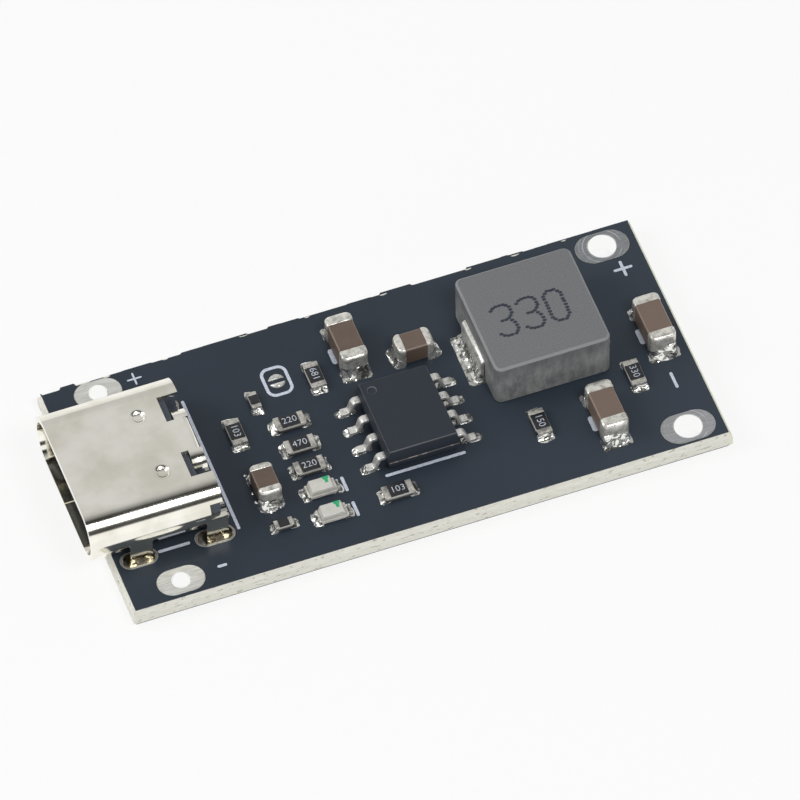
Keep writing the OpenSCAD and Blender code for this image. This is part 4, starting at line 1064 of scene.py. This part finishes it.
def needle_mark(text, middle_xy, low, chance):
    """Oval discs along the strokes of each digit, each a little off its line."""
    ring = np.radians(np.arange(0, 360, 36))
    oval = DOT_R * np.column_stack([1.2 * np.cos(ring), 0.9 * np.sin(ring)])
    discs = []
    for index, digit in enumerate(text):
        left = middle_xy[0] + (index - (len(text) - 1) / 2) * DIGIT_STEP
        spots = np.vstack([pecks(stroke) for stroke in STROKES[digit]]) + (left, middle_xy[1])
        spots += chance.uniform(-0.015, 0.015, spots.shape)
        discs += [prism(spot + oval, low, 0.004) for spot in spots]
    return joined(discs)


def dark_ink(name):
    """Blue black ink with pale gaps where the grain shows through."""
    f = Finish(name)
    gaps = f.noise(14, detail=2)
    return f.surface(Base_Color=f.mix(f.step(gaps, 0.5, 0.75), colour(44, 49, 62), colour(74, 78, 88)),
                     Roughness=0.6 + 0.1 * gaps)


coil_top = box_mm("inductor_core")[1][2]
piece("inductor_mark", needle_mark("330", MARK_MIDDLE, coil_top, chance), dark_ink("dark_ink"))


# %% [markdown]
# Each lamp has a green arrow on its lens that tells which end is which.

# %% Green marks on the lamps
ARROW = [(0.14, 0.37), (0.5, 0.37), (0.5, 0.24), (0.42, 0.16), (0.4, -0.04), (0.24, -0.02), (0.25, 0.16), (0.18, 0.22)]


def green_ink(name):
    """Bright green lacquer with small bare spots."""
    f = Finish(name)
    bare = f.step(f.noise(12, detail=2), 0.6, 0.72)
    return f.surface(Base_Color=f.mix(bare * 0.5, colour(34, 172, 112), colour(150, 205, 175)), Roughness=0.4 + 0.2 * bare)


arrows = []
for lamp in ("charge", "full"):
    low, high = box_mm(lamp + "_lamp_lens")
    spot = (low + high)[:2] / 2
    arrows.append(prism(np.array(ARROW) + spot, high[2], 0.006))
piece("lamp_arrows", joined(arrows), green_ink("green_ink"))


# %% [markdown]
# A few tiny plated holes are filled with solder and stand as pale dots beside
# the input filter capacitor.

# %% Filled holes
VIAS = [(-8.07, -1.24), (-8.06, -1.87), (-8.09, -2.45), (-8.12, -3.03)]
small = np.radians(np.arange(0, 360, 30))
domes = [dome(np.column_stack([x + 0.1 * np.cos(small), y + 0.1 * np.sin(small)]), 0.04) for x, y in VIAS]
piece("tinned_spots", joined(domes), SOLDER, crease=60)


# %% [markdown]
# Where boards are snapped apart along a score line, the far edge stays rough:
# the mask hangs over it in ragged pieces, and in a few places it flakes off and
# the cream laminate shows.

# %% Flaked places along the far edge
MASK_END = box_mm("solder_mask_top")[1][1]
FLAKES = [(-13.9, 0.9), (-12.6, 0.4), (-9.4, 0.35), (-5.1, 0.5), (-1.6, 0.3), (2.6, 0.45), (7.3, 0.4), (9.9, 0.5), (12.6, 0.3)]


def flake(x, length, chance):
    """A shallow bite: a low arch whose height follows a sine along the edge."""
    share = np.linspace(0, 1, 9)
    depth = (0.05 + 0.03 * chance.random()) * np.sin(np.pi * share) ** 0.6
    inner = np.column_stack([x + length * (share - 0.5), MASK_END - 0.003 - depth])
    outer = np.column_stack([inner[::-1, 0], np.full(len(share), MASK_END + 0.002)])
    return prism(np.vstack([inner, outer[1:-1]]), BOARD_TOP - 0.01, 0.013)


flakes = [flake(x, length, chance) for x, length in FLAKES]
piece("edge_flakes", joined(flakes), LAMINATE)


# %% Ragged mask along the far edge
RAG_PIECES, RAG_STEPS = 30, 320
OVERHANG = BOARD_HIGH[1] - MASK_END - 0.005


def ragged_strip(low_x, high_x, chance):
    """A thin strip whose outer edge jumps to a new random reach at random places."""
    x = np.linspace(low_x, high_x, RAG_STEPS)
    cuts = np.sort(chance.uniform(low_x, high_x, RAG_PIECES))
    reach = chance.uniform(0.0, 1.0, RAG_PIECES + 1)[np.searchsorted(cuts, x)] ** 1.5
    outer = np.column_stack([x, MASK_END + 0.003 + OVERHANG * reach])
    inner = np.column_stack([x[::-1], np.full(RAG_STEPS, MASK_END - 0.02)])
    return prism(np.vstack([inner, outer]), BOARD_TOP - 0.03, 0.029)


print("mask may hang over by", round(OVERHANG, 3), "mm")
piece("mask_rags", ragged_strip(BOARD_LOW[0] + 0.15, BOARD_HIGH[0] - 0.15, chance), MASK)


# %% [markdown]
# ## Floor, light and camera
#
# A pale floor, a soft overhead light and a weaker one from the side give the
# plain studio look. The floor shows white to the camera and to the metal, but
# it is still a surface, so the object keeps its shadow.

# %% Floor and world
def studio_floor():
    """A large pale plate just below the board."""
    half = 0.6
    corners = [(-half, -half, -1e-5), (half, -half, -1e-5), (half, half, -1e-5), (-half, half, -1e-5)]
    mesh = bpy.data.meshes.new("floor")
    mesh.from_pydata(corners, [], [(0, 1, 2, 3)])
    plate = bpy.data.objects.new("floor", mesh)
    bpy.context.scene.collection.objects.link(plate)
    f = Finish("floor_white")
    lit = f.tree.nodes.new("ShaderNodeBsdfDiffuse")
    lit.inputs["Color"].default_value = (0.9, 0.9, 0.9, 1)
    glow = f.tree.nodes.new("ShaderNodeEmission")
    glow.inputs["Color"].default_value = (1, 1, 1, 1)
    both = f.tree.nodes.new("ShaderNodeMixShader")
    f.feed(both.inputs[0], f.node("LightPath", output="Is Camera Ray") * 0.8 + f.node("LightPath", output="Is Glossy Ray"))
    f.tree.links.new(lit.outputs[0], both.inputs[1])
    f.tree.links.new(glow.outputs[0], both.inputs[2])
    end = f.tree.nodes.new("ShaderNodeOutputMaterial")
    f.tree.links.new(both.outputs[0], end.inputs[0])
    mesh.materials.append(f.material)


studio_floor()


# %% Soft boxes drawn in the sky
class Sky(Finish):
    """The same node helpers, but for the world."""

    def __init__(self, name):
        self.material = bpy.data.worlds.new(name)
        bpy.context.scene.world = self.material
        self.material.use_nodes = True
        self.tree = self.material.node_tree
        self.tree.nodes.clear()


def studio_sky(levels):
    """Light by the angle from the front horizon, over the top, to the back horizon."""
    f = Sky("studio")
    way = f.node("TexCoord", output="Generated")
    forward = f.node("SeparateXYZ", {0: way}, output="Y")
    upward = f.node("SeparateXYZ", {0: way}, output="Z")
    share = f.math("ARCTAN2", upward, forward * -1.0) / math.pi
    boxes = f.node("ValToRGB", {0: share}, stops=[(angle / 180, level) for angle, level in levels])
    light = f.tree.nodes.new("ShaderNodeBackground")
    f.feed(light.inputs["Color"], boxes)
    end = f.tree.nodes.new("ShaderNodeOutputWorld")
    f.tree.links.new(light.outputs[0], end.inputs[0])


studio_sky([(0, 1.05), (25, 1.05), (29, 0.05), (44, 0.05), (48, 1.0), (66, 1.0), (69, 0.02), (81, 0.03),
            (90, 0.26), (106, 0.6), (125, 0.68), (134, 0.62), (158, 0.58), (164, 0.9), (180, 0.9)])


# %% Soft lamps
def soft_lamp(name, place_mm, aim_mm, size_mm, watts):
    """A square area lamp at a place, turned to an aim point."""
    lamp = bpy.data.lights.new(name, "AREA")
    lamp.size = size_mm * MM
    lamp.energy = watts
    holder = bpy.data.objects.new(name, lamp)
    bpy.context.scene.collection.objects.link(holder)
    place = np.array(place_mm, float) * MM
    towards = np.array(aim_mm, float) * MM - place
    back = -towards / np.linalg.norm(towards)
    side = np.cross((0, 1, 0.01), back)
    side /= np.linalg.norm(side)
    up = np.cross(back, side)
    turn = np.eye(4)
    turn[:3, 0], turn[:3, 1], turn[:3, 2], turn[:3, 3] = side, up, back, place
    holder.matrix_world = Matrix(turn.tolist())


soft_lamp("front", (30, -120, 190), (0, 0, 0), 66, 0.13)
soft_lamp("side", (-170, 40, 150), (0, 0, 0), 110, 0.16)


# %% Camera
def camera_at(turn, rise, roll, target_mm, away_mm, lens_mm):
    """A camera on a ball round the target: turn and rise in degrees."""
    a, e, r = math.radians(turn), math.radians(rise), math.radians(roll)
    back = np.array((math.sin(a) * math.cos(e), -math.cos(a) * math.cos(e), math.sin(e)))
    right = np.array((math.cos(a), math.sin(a), 0.0))
    up = np.cross(back, right)
    right, up = right * math.cos(r) + up * math.sin(r), up * math.cos(r) - right * math.sin(r)
    place = (np.array(target_mm) + back * away_mm) * MM
    data = bpy.data.cameras.new("view")
    data.lens = lens_mm
    data.sensor_width = 36.0
    data.clip_start = 0.05
    data.clip_end = 5.0
    holder = bpy.data.objects.new("view", data)
    bpy.context.scene.collection.objects.link(holder)
    turn_matrix = np.eye(4)
    turn_matrix[:3, 0], turn_matrix[:3, 1], turn_matrix[:3, 2], turn_matrix[:3, 3] = right, up, back, place
    holder.matrix_world = Matrix(turn_matrix.tolist())
    bpy.context.scene.camera = holder


camera_at(-19.356, 52.933, -1.007, (1.05, 0.547, 1.2), 628.923, 548.91)
bpy.context.scene.view_settings.view_transform = "Standard"
